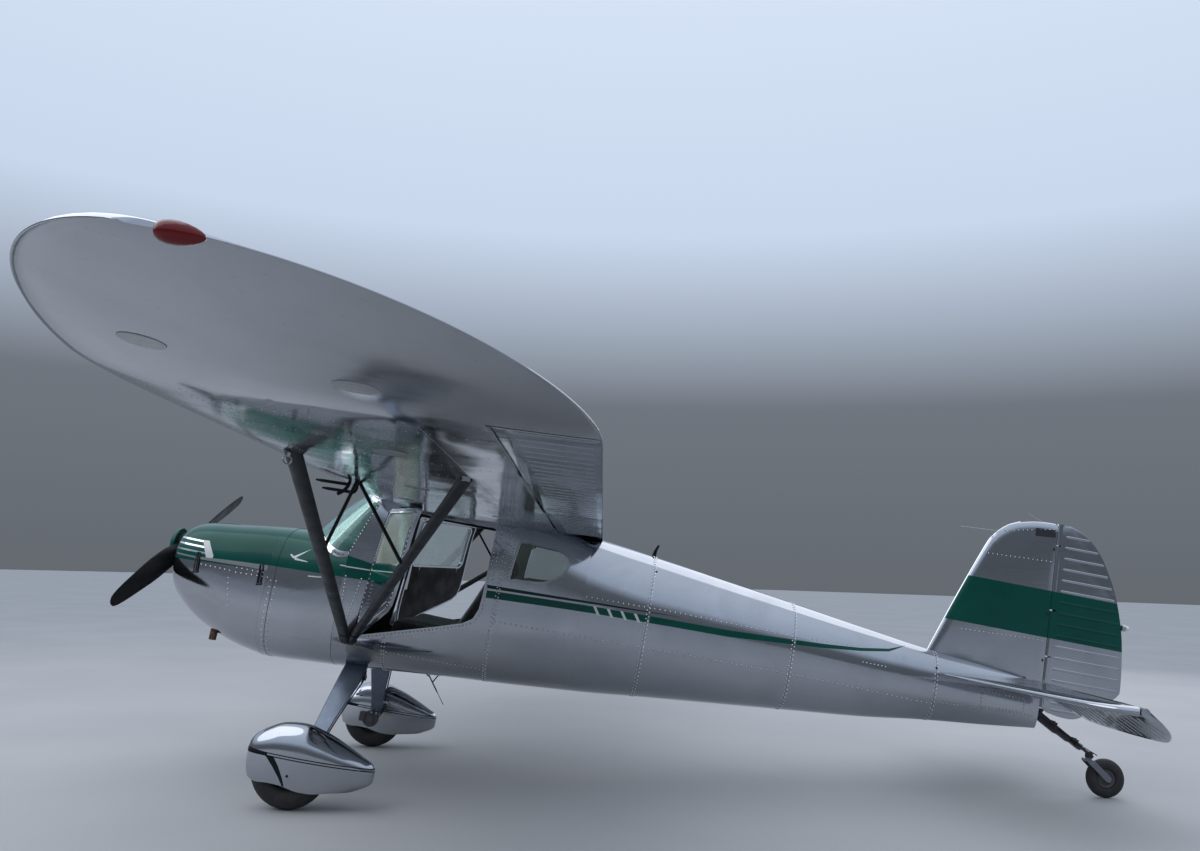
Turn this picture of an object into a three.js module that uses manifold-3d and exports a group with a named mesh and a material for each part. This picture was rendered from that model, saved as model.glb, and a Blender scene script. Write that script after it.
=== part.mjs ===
import * as THREE from "three";
import { mergeVertices } from "three/addons/utils/BufferGeometryUtils.js";
import Module from "manifold-3d";

const wasm = await Module();
wasm.setup();
const { Manifold, Mesh } = wasm;

// Every size is in millimetres. The aircraft is laid out level: x runs aft from the wing's leading
// edge at the root, y runs to the right wing, z runs up from the propeller's axis. One group tips
// that layout nose up onto its three wheels and moves it over the origin.
const DEG = Math.PI / 180;
const GROUND_ANGLE = 8.79;
const SHIFT_X = -1812.9;
const SHIFT_Z = 1273.1;
const GAP = 0.3;
const FAR = 1000;

// Fuselage
const FIREWALL_X = -600;
const SCREEN_X = -100;
const CABIN_END_X = 1418;
const SKIN = 22;
const SILL_Z = -420;
const RING = 32;
// x, top, bottom, half width, height of the widest point, upper and lower roundness
const COWL_STATIONS = [
  [-1312, 62, -200, 215, -60, 2.3, 2.3],
  [-1302, 98, -255, 262, -60, 2.4, 2.4],
  [-1272, 142, -322, 312, -60, 2.5, 2.5],
  [-1212, 173, -380, 354, -60, 2.6, 2.6],
  [-1110, 192, -456, 390, -60, 2.7, 2.7],
  [-960, 211, -525, 418, -65, 2.8, 2.8],
  [-800, 232, -575, 440, -70, 2.9, 3.0],
  [-606, 253, -612, 456, -70, 3.0, 3.1],
];
const DECK_STATIONS = [
  [-606, 253, -612, 456, -70, 3.0, 3.1],
  [-455, 261, -606, 480, -60, 3.1, 3.2],
  [-300, 265, -594, 506, -40, 3.2, 3.3],
  [-100, 268, -580, 528, -20, 3.3, 3.4],
];
const CABIN_STATIONS = [
  [-100, 660, -580, 528, 20, 6.0, 3.4],
  [100, 660, -564, 530, 20, 6.0, 3.4],
  [700, 655, -516, 530, 20, 6.0, 3.4],
  [1000, 625, -497, 520, 20, 5.0, 3.3],
  [1250, 590, -479, 500, 20, 4.0, 3.2],
  [1419, 558, -467, 480, 20, 3.4, 3.1],
];
const TAIL_STATIONS = [
  [1418.3, 558, -467, 480, 20, 3.4, 3.1],
  [1560, 542, -457, 461, 20, 3.1, 3.0],
  [1845, 505, -430, 420, 20, 2.7, 2.8],
  [2310, 439, -388, 350, 20, 2.5, 2.6],
  [2876, 359, -335, 274, 15, 2.4, 2.5],
  [3367, 287, -288, 208, 5, 2.3, 2.4],
  [3766, 232, -235, 156, 0, 2.3, 2.3],
  [4200, 190, -190, 100, 0, 2.2, 2.2],
  [4530, 158, -151, 46, 0, 2.1, 2.1],
];

// Doors, hung on a line that leans aft at the top and held open on their stays
const DOOR_OPEN = 64.4;
const HINGE_Y = 536;
const HINGE_TOP = [91, 502];
const HINGE_FOOT = [29, -325];
const DOOR_OUTLINE = [
  [34, -322], [84, -322], [560, -180], [700, -135], [760, -95], [786, -30], [793, 60],
  [796, 470], [786, 486], [98, 492],
];
const DOOR_WINDOW = [
  [98, 150], [118, 132], [700, 142], [728, 168], [740, 430], [716, 452], [146, 458], [122, 440],
];
const DOOR_GAP = 6;
// The door's lower front corner is cut back to clear the sill as it swings out
const DOOR_HEEL = [[20, -340], [222, -340], [222, -277], [56, -314], [20, -314]];
const DOOR_KNUCKLES = [150, 690];
const KNUCKLE_HALF = 25;
const KNUCKLE_END = 58;
const DOOR_REACH = 24;
const SIDE_REACH = 30;
const KNUCKLE_R = 6.5;
const KNUCKLE_ARM = 5;
const ROOM_Y = 508;
const REAR_WINDOW = [
  [944, 204], [980, 196], [1130, 206], [1214, 244], [1268, 292], [1290, 350], [1262, 392],
  [1196, 416], [1088, 424], [990, 426], [962, 404],
];

// Wing
const CHORD = 1473;
const ROOT_Y = 506;
const HALF_SPAN = 5080;
const LE_Z = 571;
const INCIDENCE = 1.0;
const DIHEDRAL = 1.8;
const TIP_START = 4200;
const TIP_RISE = 80;
const TIP_POWER = 1.3;
const TIP_X = 660;
const LEADING_BEND_Y = 3750;
const TRAILING_BEND_Y = 4200;
const SURFACE_X = 1205;
const SURFACE_GAP = 8;
const FLAP_SPAN = [640, 1905];
const AILERON_SPAN = [1930, 4265];
const CENTRE_HALF = 505.7;

// Hinge brackets of the moving surfaces: a fixed plate standing in a slot of the surface's nose
const PLATE = 8;
const PLATE_R = 12;
const FLAP_BRACKETS = [760, 1785];
const AILERON_BRACKETS = [2060, 3100, 4140];
const ELEVATOR_BRACKETS = [330, 1180];
const RUDDER_BRACKETS = [330, 640, 1080];

// Propeller and spinner
const PROP_X = -1370;
const PROP_ANGLE = 25.1;
const HUB_FRONT = -34;
const HUB_BACK = 46;
const HUB_R = 74;
const BLADE_SIDES = 14;
// radius, chord, thickness, pitch from the disc
const BLADE_TABLE = [
  [45, 80, 50, 40], [120, 100, 40, 38], [230, 128, 25, 32], [420, 138, 17, 24],
  [620, 122, 12, 18], [800, 96, 9, 14], [880, 62, 7, 12], [898, 24, 5, 12],
];

// Undercarriage
const TRACK_HALF = 983;
const TYRE_R = 222;
const AXLE_X = -33;
const AXLE_Z = -1068.7;
const TAIL_AXLE_X = 5029;
const TAIL_AXLE_Z = -384.1;
const TAIL_TYRE_R = 125;

// Tail
const FIN_HINGE = [[4563, 126], [4554, 1228]];
const STAB_HINGE_X = 4446;
const STAB_HINGE_Z = 140;
const STAB_SLOPE = 4.3;
const ELEVATOR_DROOP = 30;

const hex = (r, g, b) => new THREE.Color(r, g, b);
const ALU = [hex(0.7, 0.72, 0.74), 0.25, 0.95];
const GREEN = [hex(0.02, 0.16, 0.09), 0.3, 0.1];
const DARK = [hex(0.03, 0.03, 0.035), 0.6, 0.1];
const STEEL = [hex(0.5, 0.5, 0.52), 0.4, 0.9];
const RUBBER = [hex(0.02, 0.02, 0.02), 0.85, 0.0];
const GLASS = [hex(0.6, 0.7, 0.72), 0.05, 0.0];
const CLOTH = [hex(0.05, 0.045, 0.05), 0.9, 0.0];

// Solids from rings of points, all rings with the same count, in order along the solid.
function ringSolid(rings) {
  const n = rings[0].length;
  const verts = [];
  const tris = [];
  for (const ring of rings) {
    for (const p of ring) {
      verts.push(p[0], p[1], p[2]);
    }
  }
  for (let i = 0; i + 1 < rings.length; i += 1) {
    for (let j = 0; j < n; j += 1) {
      const k = (j + 1) % n;
      const a = i * n + j;
      const b = i * n + k;
      const c = (i + 1) * n + j;
      const d = (i + 1) * n + k;
      tris.push(a, c, b, b, c, d);
    }
  }
  for (const [at, flip] of [[0, false], [rings.length - 1, true]]) {
    const base = at * n;
    for (let j = 1; j + 1 < n; j += 1) {
      if (flip) {
        tris.push(base, base + j + 1, base + j);
      } else {
        tris.push(base, base + j, base + j + 1);
      }
    }
  }
  const geometry = new THREE.BufferGeometry();
  geometry.setAttribute("position", new THREE.Float32BufferAttribute(verts, 3));
  geometry.setIndex(tris);
  const made = solid(geometry);
  return made.volume() < 0 ? solid(flipped(geometry)) : made;
}

function flipped(geometry) {
  const index = geometry.index.array;
  for (let i = 0; i < index.length; i += 3) {
    [index[i + 1], index[i + 2]] = [index[i + 2], index[i + 1]];
  }
  return geometry;
}

function solid(geometry, matrix) {
  const g = geometry.index ? geometry.toNonIndexed() : geometry.clone();
  g.deleteAttribute("normal");
  g.deleteAttribute("uv");
  if (matrix) {
    g.applyMatrix4(matrix);
  }
  const merged = mergeVertices(g, 1e-4);
  return new Manifold(
    new Mesh({
      numProp: 3,
      vertProperties: merged.attributes.position.array,
      triVerts: new Uint32Array(merged.index.array),
    }),
  );
}

function geometryOf(made) {
  const m = made.getMesh();
  const positions = new Float32Array(m.numVert * 3);
  for (let i = 0; i < m.numVert; i += 1) {
    positions.set(m.vertProperties.subarray(i * m.numProp, i * m.numProp + 3), i * 3);
  }
  const geometry = new THREE.BufferGeometry();
  geometry.setAttribute("position", new THREE.BufferAttribute(positions, 3));
  geometry.setIndex(new THREE.BufferAttribute(new Uint32Array(m.triVerts), 1));
  geometry.computeVertexNormals();
  return geometry;
}

// A closed prism from an outline in x and z, between two y.
function prismY(outline, y0, y1) {
  return ringSolid([y0, y1].map((y) => outline.map(([x, z]) => [x, y, z])));
}

function box(x0, x1, y0, y1, z0, z1) {
  const g = new THREE.BoxGeometry(x1 - x0, y1 - y0, z1 - z0);
  g.translate((x0 + x1) / 2, (y0 + y1) / 2, (z0 + z1) / 2);
  return solid(g);
}

// A round rod between two points.
function rod(a, b, r0, r1 = r0, sides = 16) {
  return rodSection(a, b, (k, angle) => {
    const r = k === 0 ? r0 : r1;
    return [r * Math.cos(angle), r * Math.sin(angle)];
  }, sides);
}

// A rod with a streamlined section: long along x, thin across.
function blade(a, b, long, thin, sides = 12) {
  return rodSection(a, b, (k, angle) => {
    return [0.5 * long * Math.cos(angle), 0.5 * thin * Math.sin(angle)];
  }, sides);
}

function rodSection(a, b, at, sides) {
  const from = new THREE.Vector3(...a);
  const to = new THREE.Vector3(...b);
  const along = to.clone().sub(from).normalize();
  const side = new THREE.Vector3(1, 0, 0);
  if (Math.abs(along.x) > 0.95) {
    side.set(0, 1, 0);
  }
  side.addScaledVector(along, -side.dot(along)).normalize();
  const third = new THREE.Vector3().crossVectors(along, side);
  const rings = [from, to].map((end, k) => {
    const ring = [];
    for (let i = 0; i < sides; i += 1) {
      const [u, v] = at(k, (2 * Math.PI * i) / sides);
      const p = end.clone().addScaledVector(side, u).addScaledVector(third, v);
      ring.push([p.x, p.y, p.z]);
    }
    return ring;
  });
  return ringSolid(rings);
}

// A ring turned about the y axis from a closed profile of radius and y.
function turned(profile, count) {
  return solid(new THREE.LatheGeometry(
    [...profile, profile[0]].map(([r, y]) => new THREE.Vector2(r, y)), count));
}

function lathe(profile, count) {
  const made = turned(profile, count);
  return made.volume() < 0 ? turned([...profile].reverse(), count) : made;
}

function union(list) {
  return list.reduce((sum, each) => sum.add(each));
}

function largest(made) {
  return made.decompose().sort((a, b) => b.volume() - a.volume())[0];
}

function mirrorY(made) {
  return made.mirror([0, 1, 0]);
}

// One cross-section of the body: widest at its own height, rounder above and below.
function bodyRing([x, top, bottom, half, mid, upper, lower], inset = 0, shiftX = 0, count = RING) {
  const ring = [];
  for (let i = 0; i < count; i += 1) {
    const angle = (2 * Math.PI * (i + 0.5)) / count;
    const c = Math.cos(angle);
    const s = Math.sin(angle);
    const n = s > 0 ? upper : lower;
    const height = (s > 0 ? top - mid : mid - bottom) - inset;
    const y = (half - inset) * Math.sign(c) * Math.abs(c) ** (2 / n);
    const z = mid + height * Math.sign(s) * Math.abs(s) ** (2 / n);
    ring.push([x + shiftX, y, z]);
  }
  return ring;
}

function bodyLoft(stations, inset = 0, stretch = 0, count = RING) {
  const last = stations.length - 1;
  return ringSolid(
    stations.map((row, i) => {
      const shift = i === 0 ? -stretch : i === last ? stretch : 0;
      return bodyRing(row, inset, shift, count);
    }),
  );
}

// Wing section heights over the chord line, per unit of chord.
function sectionHeights(t) {
  const thick =
    0.6 * (0.2969 * Math.sqrt(t) - 0.126 * t - 0.3516 * t ** 2 + 0.2843 * t ** 3 - 0.1036 * t ** 4);
  const camber = t < 0.4
    ? (0.02 / 0.16) * (0.8 * t - t * t)
    : (0.02 / 0.36) * (0.2 + 0.8 * t - t * t);
  return [camber + thick, camber - thick];
}

const WING_T = [0, 0.006, 0.025, 0.06, 0.12, 0.2, 0.32, 0.46, 0.62, 0.78, 0.82, 0.9, 1];

function planform(y) {
  const bend = (start) => {
    const u = Math.max(0, (y - start) / (HALF_SPAN + 4 - start));
    return 1 - Math.sqrt(1 - u * u);
  };
  return [TIP_X * bend(LEADING_BEND_Y), CHORD - (CHORD - TIP_X) * bend(TRAILING_BEND_Y)];
}

function wingRing(y, grow = 0) {
  const [x0, x1] = planform(Math.abs(y));
  const chord = x1 - x0;
  const outboard = Math.max(0, Math.abs(y) - ROOT_Y);
  const tip = Math.max(0, (Math.abs(y) - TIP_START) / (HALF_SPAN - TIP_START));
  const rise = TIP_RISE * tip ** TIP_POWER;
  const upper = [];
  const lower = [];
  for (const t of WING_T) {
    const [hi, lo] = sectionHeights(t);
    const x = x0 + t * chord;
    const z = LE_Z - Math.tan(INCIDENCE * DEG) * x + Math.tan(DIHEDRAL * DEG) * outboard + rise;
    const edge = t === 0 || t === 1 ? 1.2 : 0;
    upper.push([x, y, z + hi * chord * (1 - 0.15 * tip) + edge + grow]);
    lower.push([x, y, z + lo * chord * (1 - 0.45 * tip) - edge - grow]);
  }
  return [...upper, ...lower.reverse()];
}

const [SURFACE_HIGH, SURFACE_LOW] = sectionHeights(SURFACE_X / CHORD);
const SURFACE_R = 0.5 * CHORD * (SURFACE_HIGH - SURFACE_LOW) + 1.5;

function wingHingePoint(y) {
  const chordZ = LE_Z - Math.tan(INCIDENCE * DEG) * SURFACE_X;
  const rise = Math.tan(DIHEDRAL * DEG) * (Math.abs(y) - ROOT_Y);
  return [SURFACE_X, y, chordZ + rise + 0.5 * (SURFACE_HIGH + SURFACE_LOW) * CHORD];
}

const WING_YS = [ROOT_Y, 2600, 3750, 4000, 4270, 4440, 4600, 4740, 4850, 4940, 5010, 5052, 5074, 5080];
const wingWhole = ringSolid(WING_YS.map((y) => wingRing(y)));

function surfaceZone(y0, y1, r) {
  const nose = rod(wingHingePoint(y0), wingHingePoint(y1), r, r, 20);
  const aft = box(SURFACE_X, CHORD + 60, y0, y1, 300, 900);
  return nose.add(aft);
}

// A thin disc across a hinge line, or the plate that reaches it from the fixed part ahead.
function wingDisc(y, half, r) {
  return rod(wingHingePoint(y - half), wingHingePoint(y + half), r, r, 10);
}

function wingPlate(y) {
  const [x, , z] = wingHingePoint(y);
  const half = PLATE / 2;
  const reach = SURFACE_R + 30;
  return wingDisc(y, half, PLATE_R).add(box(x - reach, x, y - half, y + half, z - PLATE_R, z + PLATE_R));
}

function wingWithBays() {
  let made = wingWhole;
  for (const [[y0, y1], brackets] of [[FLAP_SPAN, FLAP_BRACKETS], [AILERON_SPAN, AILERON_BRACKETS]]) {
    made = made.subtract(surfaceZone(y0 - SURFACE_GAP, y1 + SURFACE_GAP, SURFACE_R + SURFACE_GAP));
    made = union([made, ...brackets.map(wingPlate)]);
  }
  return made;
}

function wingSurface([y0, y1], brackets) {
  return brackets.reduce(
    (made, y) => made.subtract(wingDisc(y, PLATE / 2 + 3 * GAP, SURFACE_R + 4)),
    wingWhole.intersect(surfaceZone(y0, y1, SURFACE_R)),
  );
}

const root = new THREE.Group();
const level = new THREE.Group();
level.rotation.y = GROUND_ANGLE * DEG;
level.position.set(SHIFT_X, 0, SHIFT_Z);
root.add(level);

function place(name, made, [color, roughness, metalness], parent = level, offset = [0, 0, 0]) {
  const moved = made.translate([-offset[0], -offset[1], -offset[2]]);
  const material = new THREE.MeshStandardMaterial({ color, roughness, metalness });
  const mesh = new THREE.Mesh(geometryOf(moved), material);
  mesh.name = name;
  parent.add(mesh);
  return mesh;
}

// A group that turns about an axis through a point of the layout.
function pivot(point, axis, degrees) {
  const group = new THREE.Group();
  group.position.set(...point);
  group.quaternion.setFromAxisAngle(new THREE.Vector3(...axis).normalize(), degrees * DEG);
  level.add(group);
  return group;
}

// Cowl, with a cooling inlet each side of the spinner, an air intake below and the outlet aft
const COWL_WALL = 10;
const COWL_SEAM_Z = -90;
const COWL_AFT = FIREWALL_X - 20 * GAP - GAP;
const INLET = { y: 150, z: -22, r: 62 };
const STUB = { x: -955, y: 190, r: 23, hole: 32, top: -240, foot: -566, bore: -480 };
const cowlCuts = [
  bodyLoft(COWL_STATIONS, COWL_WALL).translate([COWL_WALL + 4, 0, 0]),
  rod([-1500, 0, 0], [-1200, 0, 0], 60, 60, 24),
  box(-1500, -1200, -95, 95, -178, -128),
  box(-760, -590, -190, 190, -700, -540),
  ...[-1, 1].flatMap((side) => [
    rod([-1500, side * INLET.y, INLET.z], [-1180, side * INLET.y, INLET.z], INLET.r, INLET.r, 24),
    rod([STUB.x, side * STUB.y, -700], [STUB.x, side * STUB.y, -300], STUB.hole, STUB.hole, 16),
  ]),
];
const cowl = cowlCuts
  .reduce((made, cut) => made.subtract(cut), bodyLoft(COWL_STATIONS))
  .intersect(box(-2 * FAR, COWL_AFT, -FAR, FAR, -FAR, FAR));
place("cowl_upper", cowl.intersect(box(-2 * FAR, 0, -FAR, FAR, COWL_SEAM_Z + GAP, FAR)), GREEN);
place("cowl_lower", cowl.intersect(box(-2 * FAR, 0, -FAR, FAR, -FAR, COWL_SEAM_Z)), ALU);

// Firewall, and the engine block with its mount tubes and exhaust stubs
const firewallSlab = box(COWL_AFT + 0.4, FIREWALL_X - GAP, -FAR, FAR, -FAR, FAR);
place("firewall", bodyLoft(DECK_STATIONS).intersect(firewallSlab), ALU);
const mountTubes = [-1, 1].flatMap((side) => [-210, 60].map(
  (z) => rod([-720, side * 180, z], [-590, side * 230, z], 14, 14, 12)));
const exhaustStubs = [-1, 1].map((side) => {
  const outer = rod([STUB.x, side * STUB.y, STUB.top], [STUB.x, side * STUB.y, STUB.foot], STUB.r, STUB.r, 20);
  const bore = rod([STUB.x, side * STUB.y, STUB.bore], [STUB.x, side * STUB.y, -FAR], STUB.r - 4, STUB.r - 4, 20);
  return outer.subtract(bore);
});
const engine = union([
  box(-1150, -690, -300, 300, -260, 80),
  rod([-1140, 0, 0], [PROP_X + HUB_BACK + GAP, 0, 0], 46, 46, 24),
  ...mountTubes,
  ...exhaustStubs,
]);
place("engine_block", engine.intersect(box(-2 * FAR, COWL_AFT, -FAR, FAR, -FAR, FAR)), DARK);

// Propeller with its spinner
const propGroup = pivot([PROP_X, 0, 0], [1, 0, 0], PROP_ANGLE);
function bladeRing([r, chord, thickness, pitch], side) {
  const ring = [];
  const cos = Math.cos(pitch * DEG);
  const sin = Math.sin(pitch * DEG);
  for (let i = 0; i < BLADE_SIDES; i += 1) {
    const a = (2 * Math.PI * i) / BLADE_SIDES;
    const u = 0.5 * chord * Math.cos(a);
    const v = 0.5 * thickness * Math.sin(a);
    ring.push([u * sin + v * cos, side * r, side * (u * cos - v * sin)]);
  }
  return ring;
}
const blades = [-1, 1].map((side) => ringSolid(BLADE_TABLE.map((row) => bladeRing(row, side))));
const hub = rod([HUB_FRONT, 0, 0], [HUB_BACK, 0, 0], HUB_R, HUB_R, 28);
const propeller = union([...blades, hub]).intersect(box(HUB_FRONT, HUB_BACK, -FAR, FAR, -FAR, FAR));
place("propeller", propeller, DARK, propGroup);
// x, radius
const SPINNER_TABLE = [[-34.4, 104], [-50, 100], [-66, 86], [-78, 62], [-85, 34], [-87, 8]];
const SPINNER_SIDES = 28;
const spinnerRings = SPINNER_TABLE.map(([x, r]) => {
  const ring = [];
  for (let i = 0; i < SPINNER_SIDES; i += 1) {
    const a = (2 * Math.PI * i) / SPINNER_SIDES;
    ring.push([x, r * Math.cos(a), r * Math.sin(a)]);
  }
  return ring;
});
place("spinner", ringSolid(spinnerRings), GREEN, propGroup);

// Cabin and boot cowl
const deckShell = bodyLoft(DECK_STATIONS).subtract(bodyLoft(DECK_STATIONS, SKIN, 5));
const cabinShell = bodyLoft(CABIN_STATIONS).subtract(bodyLoft(CABIN_STATIONS, SKIN, 5));
const deckGrown = bodyLoft(DECK_STATIONS, -GAP);
const hullGrown = deckGrown.add(bodyLoft(CABIN_STATIONS, -GAP));
place("boot_cowl", deckShell.intersect(box(FIREWALL_X, SCREEN_X, -FAR, FAR, SILL_Z + GAP, FAR)), GREEN);
const pan = deckShell.intersect(box(FIREWALL_X, SCREEN_X + 1, -FAR, FAR, -FAR, SILL_Z))
  .add(cabinShell.intersect(box(SCREEN_X, CABIN_END_X, -FAR, FAR, -FAR, SILL_Z)));
place("belly_pan", pan, ALU);

// The centre section's profile, grown a little, cuts what meets it
const centreUnder = wingRing(ROOT_Y).slice(WING_T.length).map(([x, , z]) => [x, z - GAP]);
const centreNose = centreUnder[centreUnder.length - 1];
const centreCut = prismY([
  [centreUnder[0][0] + GAP, FAR],
  [centreUnder[0][0] + GAP, centreUnder[0][1]],
  ...centreUnder.slice(1),
  [centreNose[0] - GAP, centreNose[1]],
  [centreNose[0] - GAP, FAR],
], -FAR, FAR);

// Hinge knuckles on the door's line: the door's one stands between two on the cabin side
function hingeAt(s) {
  const rise = HINGE_TOP[1] - HINGE_FOOT[1];
  const lean = HINGE_TOP[0] - HINGE_FOOT[0];
  const t = s / Math.hypot(rise, lean);
  return [HINGE_FOOT[0] + lean * t, HINGE_Y, HINGE_FOOT[1] + rise * t];
}
function knuckle(s0, s1, reach) {
  const [x, y, z] = hingeAt((s0 + s1) / 2);
  const bendX = x + 0.72 * reach;
  const lap = 3 * Math.sign(reach);
  return union([
    rod(hingeAt(s0), hingeAt(s1), KNUCKLE_R, KNUCKLE_R, 10),
    rod([x, y, z], [bendX, y, z], KNUCKLE_ARM, KNUCKLE_ARM, 6),
    rod([bendX - lap, y, z], [x + reach, ROOM_Y, z], KNUCKLE_ARM, KNUCKLE_ARM, 6),
  ]);
}
const sideKnuckles = union(DOOR_KNUCKLES.flatMap((s) => [
  knuckle(s - KNUCKLE_END, s - KNUCKLE_HALF - GAP, -SIDE_REACH),
  knuckle(s + KNUCKLE_HALF + GAP, s + KNUCKLE_END, -SIDE_REACH),
]));
const doorKnuckles = union(DOOR_KNUCKLES.map((s) => knuckle(s - KNUCKLE_HALF, s + KNUCKLE_HALF, DOOR_REACH)));
const SCREEN_CORNER = [[-120, 168], [-102, 158], [36, 512], [36, FAR], [-200, FAR], [-200, 168]];
const sideHung = cabinShell
  .intersect(box(SCREEN_X + GAP, CABIN_END_X, 250, FAR, SILL_Z + GAP, 620))
  .subtract(prismY(DOOR_OUTLINE, 300, FAR))
  .subtract(prismY(REAR_WINDOW, 300, FAR))
  .subtract(centreCut)
  .subtract(prismY(SCREEN_CORNER, 200, FAR))
  .add(sideKnuckles);
place("cabin_side_right", sideHung, ALU);
place("cabin_side_left", mirrorY(sideHung), ALU);

// Centre section over the cabin
const centre = prismY(wingRing(ROOT_Y).map(([x, , z]) => [x, z]), -CENTRE_HALF, CENTRE_HALF);
place("centre_section", centre, ALU);

// Wings with their ailerons and flaps
const wingMade = wingWithBays();
for (const [name, right] of [["left", false], ["right", true]]) {
  const turn = (made) => (right ? made : mirrorY(made));
  place("wing_" + name, turn(wingMade), ALU);
  place("flap_" + name, turn(wingSurface(FLAP_SPAN, FLAP_BRACKETS)), ALU);
  place("aileron_" + name, turn(wingSurface(AILERON_SPAN, AILERON_BRACKETS)), ALU);
}

// Windscreen, one bent sheet between the boot cowl and the centre section
function deckTop(x, y) {
  const rows = DECK_STATIONS;
  let i = 0;
  while (i + 2 < rows.length && x > rows[i + 1][0]) {
    i += 1;
  }
  const t = (x - rows[i][0]) / (rows[i + 1][0] - rows[i][0]);
  const mix = rows[i].map((v, k) => v + t * (rows[i + 1][k] - v));
  const [, top, , half, mid, upper] = mix;
  const c = Math.min(1, Math.abs(y) / half);
  return mid + (top - mid) * (1 - c ** upper) ** (1 / upper);
}
const SCREEN_STEPS = 16;
const SCREEN_THICK = 8;
const screenRings = [];
for (let i = 0; i <= SCREEN_STEPS; i += 1) {
  const a = (-90 + (180 * i) / SCREEN_STEPS) * DEG;
  const c = Math.cos(a);
  const footY = 506 * Math.sin(a);
  const footX = -106 - 345 * c ** 0.8;
  const foot = [footX, footY, deckTop(footX, footY) + 4];
  const browY = 478 * Math.sin(a);
  const brow = [34 - 164 * c ** 0.8, browY, 508 + 77 * c ** 0.7];
  const crown = [36 - 30 * c ** 0.5, browY, 509 + 62 * c ** 0.5];
  const back = (p, lower) => [p[0] + SCREEN_THICK, p[1] * 0.985, p[2] - lower];
  screenRings.push([foot, brow, crown, back(crown, 8), back(brow, 8), back(foot, 3.5)]);
}
place("windscreen", ringSolid(screenRings).subtract(centreCut).subtract(bodyLoft(DECK_STATIONS, -2 * GAP)), GLASS);

// Doors, each with its window pane
function inset(outline, d) {
  const cx = outline.reduce((s, p) => s + p[0], 0) / outline.length;
  const cz = outline.reduce((s, p) => s + p[1], 0) / outline.length;
  return outline.map(([x, z]) => {
    const l = Math.hypot(x - cx, z - cz);
    return [x - (d * 1.25 * (x - cx)) / l, z - (d * 1.25 * (z - cz)) / l];
  });
}
const doorRight = cabinShell
  .intersect(prismY(inset(DOOR_OUTLINE, DOOR_GAP), 300, FAR))
  .subtract(prismY(DOOR_HEEL, 300, FAR))
  .subtract(prismY(DOOR_WINDOW, 300, FAR))
  .add(doorKnuckles);
const paneBox = bodyLoft(CABIN_STATIONS, 8, 0).subtract(bodyLoft(CABIN_STATIONS, 12, 5));
const paneRight = paneBox.intersect(prismY(inset(DOOR_WINDOW, 0.4), 300, FAR));
const rearPane = paneBox.intersect(prismY(inset(REAR_WINDOW, 0.4), 300, FAR));
for (const [name, side] of [["right", 1], ["left", -1]]) {
  const axis = [HINGE_TOP[0] - HINGE_FOOT[0], 0, HINGE_TOP[1] - HINGE_FOOT[1]];
  const foot = [HINGE_FOOT[0], side * HINGE_Y, HINGE_FOOT[1]];
  const group = pivot(foot, axis, side * DOOR_OPEN);
  const turn = (made) => (side > 0 ? made : mirrorY(made));
  place("door_" + name, turn(doorRight), ALU, group, foot);
  place("door_window_" + name, turn(paneRight), GLASS, group, foot);
  place("rear_window_" + name, turn(rearPane), GLASS);
}

// Instrument panel with the two control wheels, and the bench seat
const panelPlate = bodyLoft(DECK_STATIONS, SKIN + 1, 5).intersect(box(-128, -112, -FAR, FAR, -70, FAR));
const WHEEL_Y = 235;
const WHEEL_Z = 60;
const WHEEL_RIM_X = 52;
const WHEEL_TUBE = 10;
// y and z of each straight of the half wheel's rim, from its boss
const WHEEL_RODS = [
  [-130, 30, -110, -40], [-110, -40, 0, -62], [0, -62, 110, -40], [110, -40, 130, 30], [-110, -30, 110, -30],
];
const controls = [-WHEEL_Y, WHEEL_Y].flatMap((y) => [
  rod([-120, y, WHEEL_Z], [56, y, WHEEL_Z], 11, 11, 12),
  box(42, 62, y - 40, y + 40, 0, 80),
  ...WHEEL_RODS.map(([ya, za, yb, zb]) => rod(
    [WHEEL_RIM_X, y + ya, WHEEL_Z + za], [WHEEL_RIM_X, y + yb, WHEEL_Z + zb], WHEEL_TUBE, WHEEL_TUBE, 6)),
]);
place("instrument_panel", union([panelPlate, ...controls]), DARK);
const SEAT_HALF = 430;
const SEAT_TOP = -190;
const SEAT_FOOT = -310;
const SEAT_BACK = [[640, SEAT_TOP + GAP], [765, SEAT_TOP + GAP], [945, 310], [858, 322]];
place("seat_cushion", box(200, 700, -SEAT_HALF, SEAT_HALF, SEAT_FOOT, SEAT_TOP), CLOTH);
place("seat_back", prismY(SEAT_BACK, -SEAT_HALF, SEAT_HALF), CLOTH);
const cabinRoom = bodyLoft(CABIN_STATIONS, SKIN + 4 * GAP, 0);
place("seat_frame", box(210, 720, -400, 400, -600, SEAT_FOOT - GAP).intersect(cabinRoom), DARK);

// Tail cone
const tailcone = bodyLoft(TAIL_STATIONS).subtract(centreCut);
const tailGrown = bodyLoft(TAIL_STATIONS, -GAP);

// Fin and rudder
const FIN_OUTLINE = [
  [3760, 150], [3766, 232], [3906, 604], [4064, 992], [4110, 1072], [4152, 1119], [4210, 1164],
  [4281, 1196], [4415, 1224], [4554, 1228], [4563, 126], [4450, 120],
];
const RUDDER_OUTLINE = [
  [4563, -8], [4554, 1228], [4622, 1228], [4700, 1200], [4768, 1154], [4830, 1090], [4887, 1005],
  [4974, 822], [5037, 596], [5062, 400], [5071, 201], [5060, 160], [5025, 122], [4940, 60], [4807, -39],
  [4700, -52], [4600, -36],
];
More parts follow.
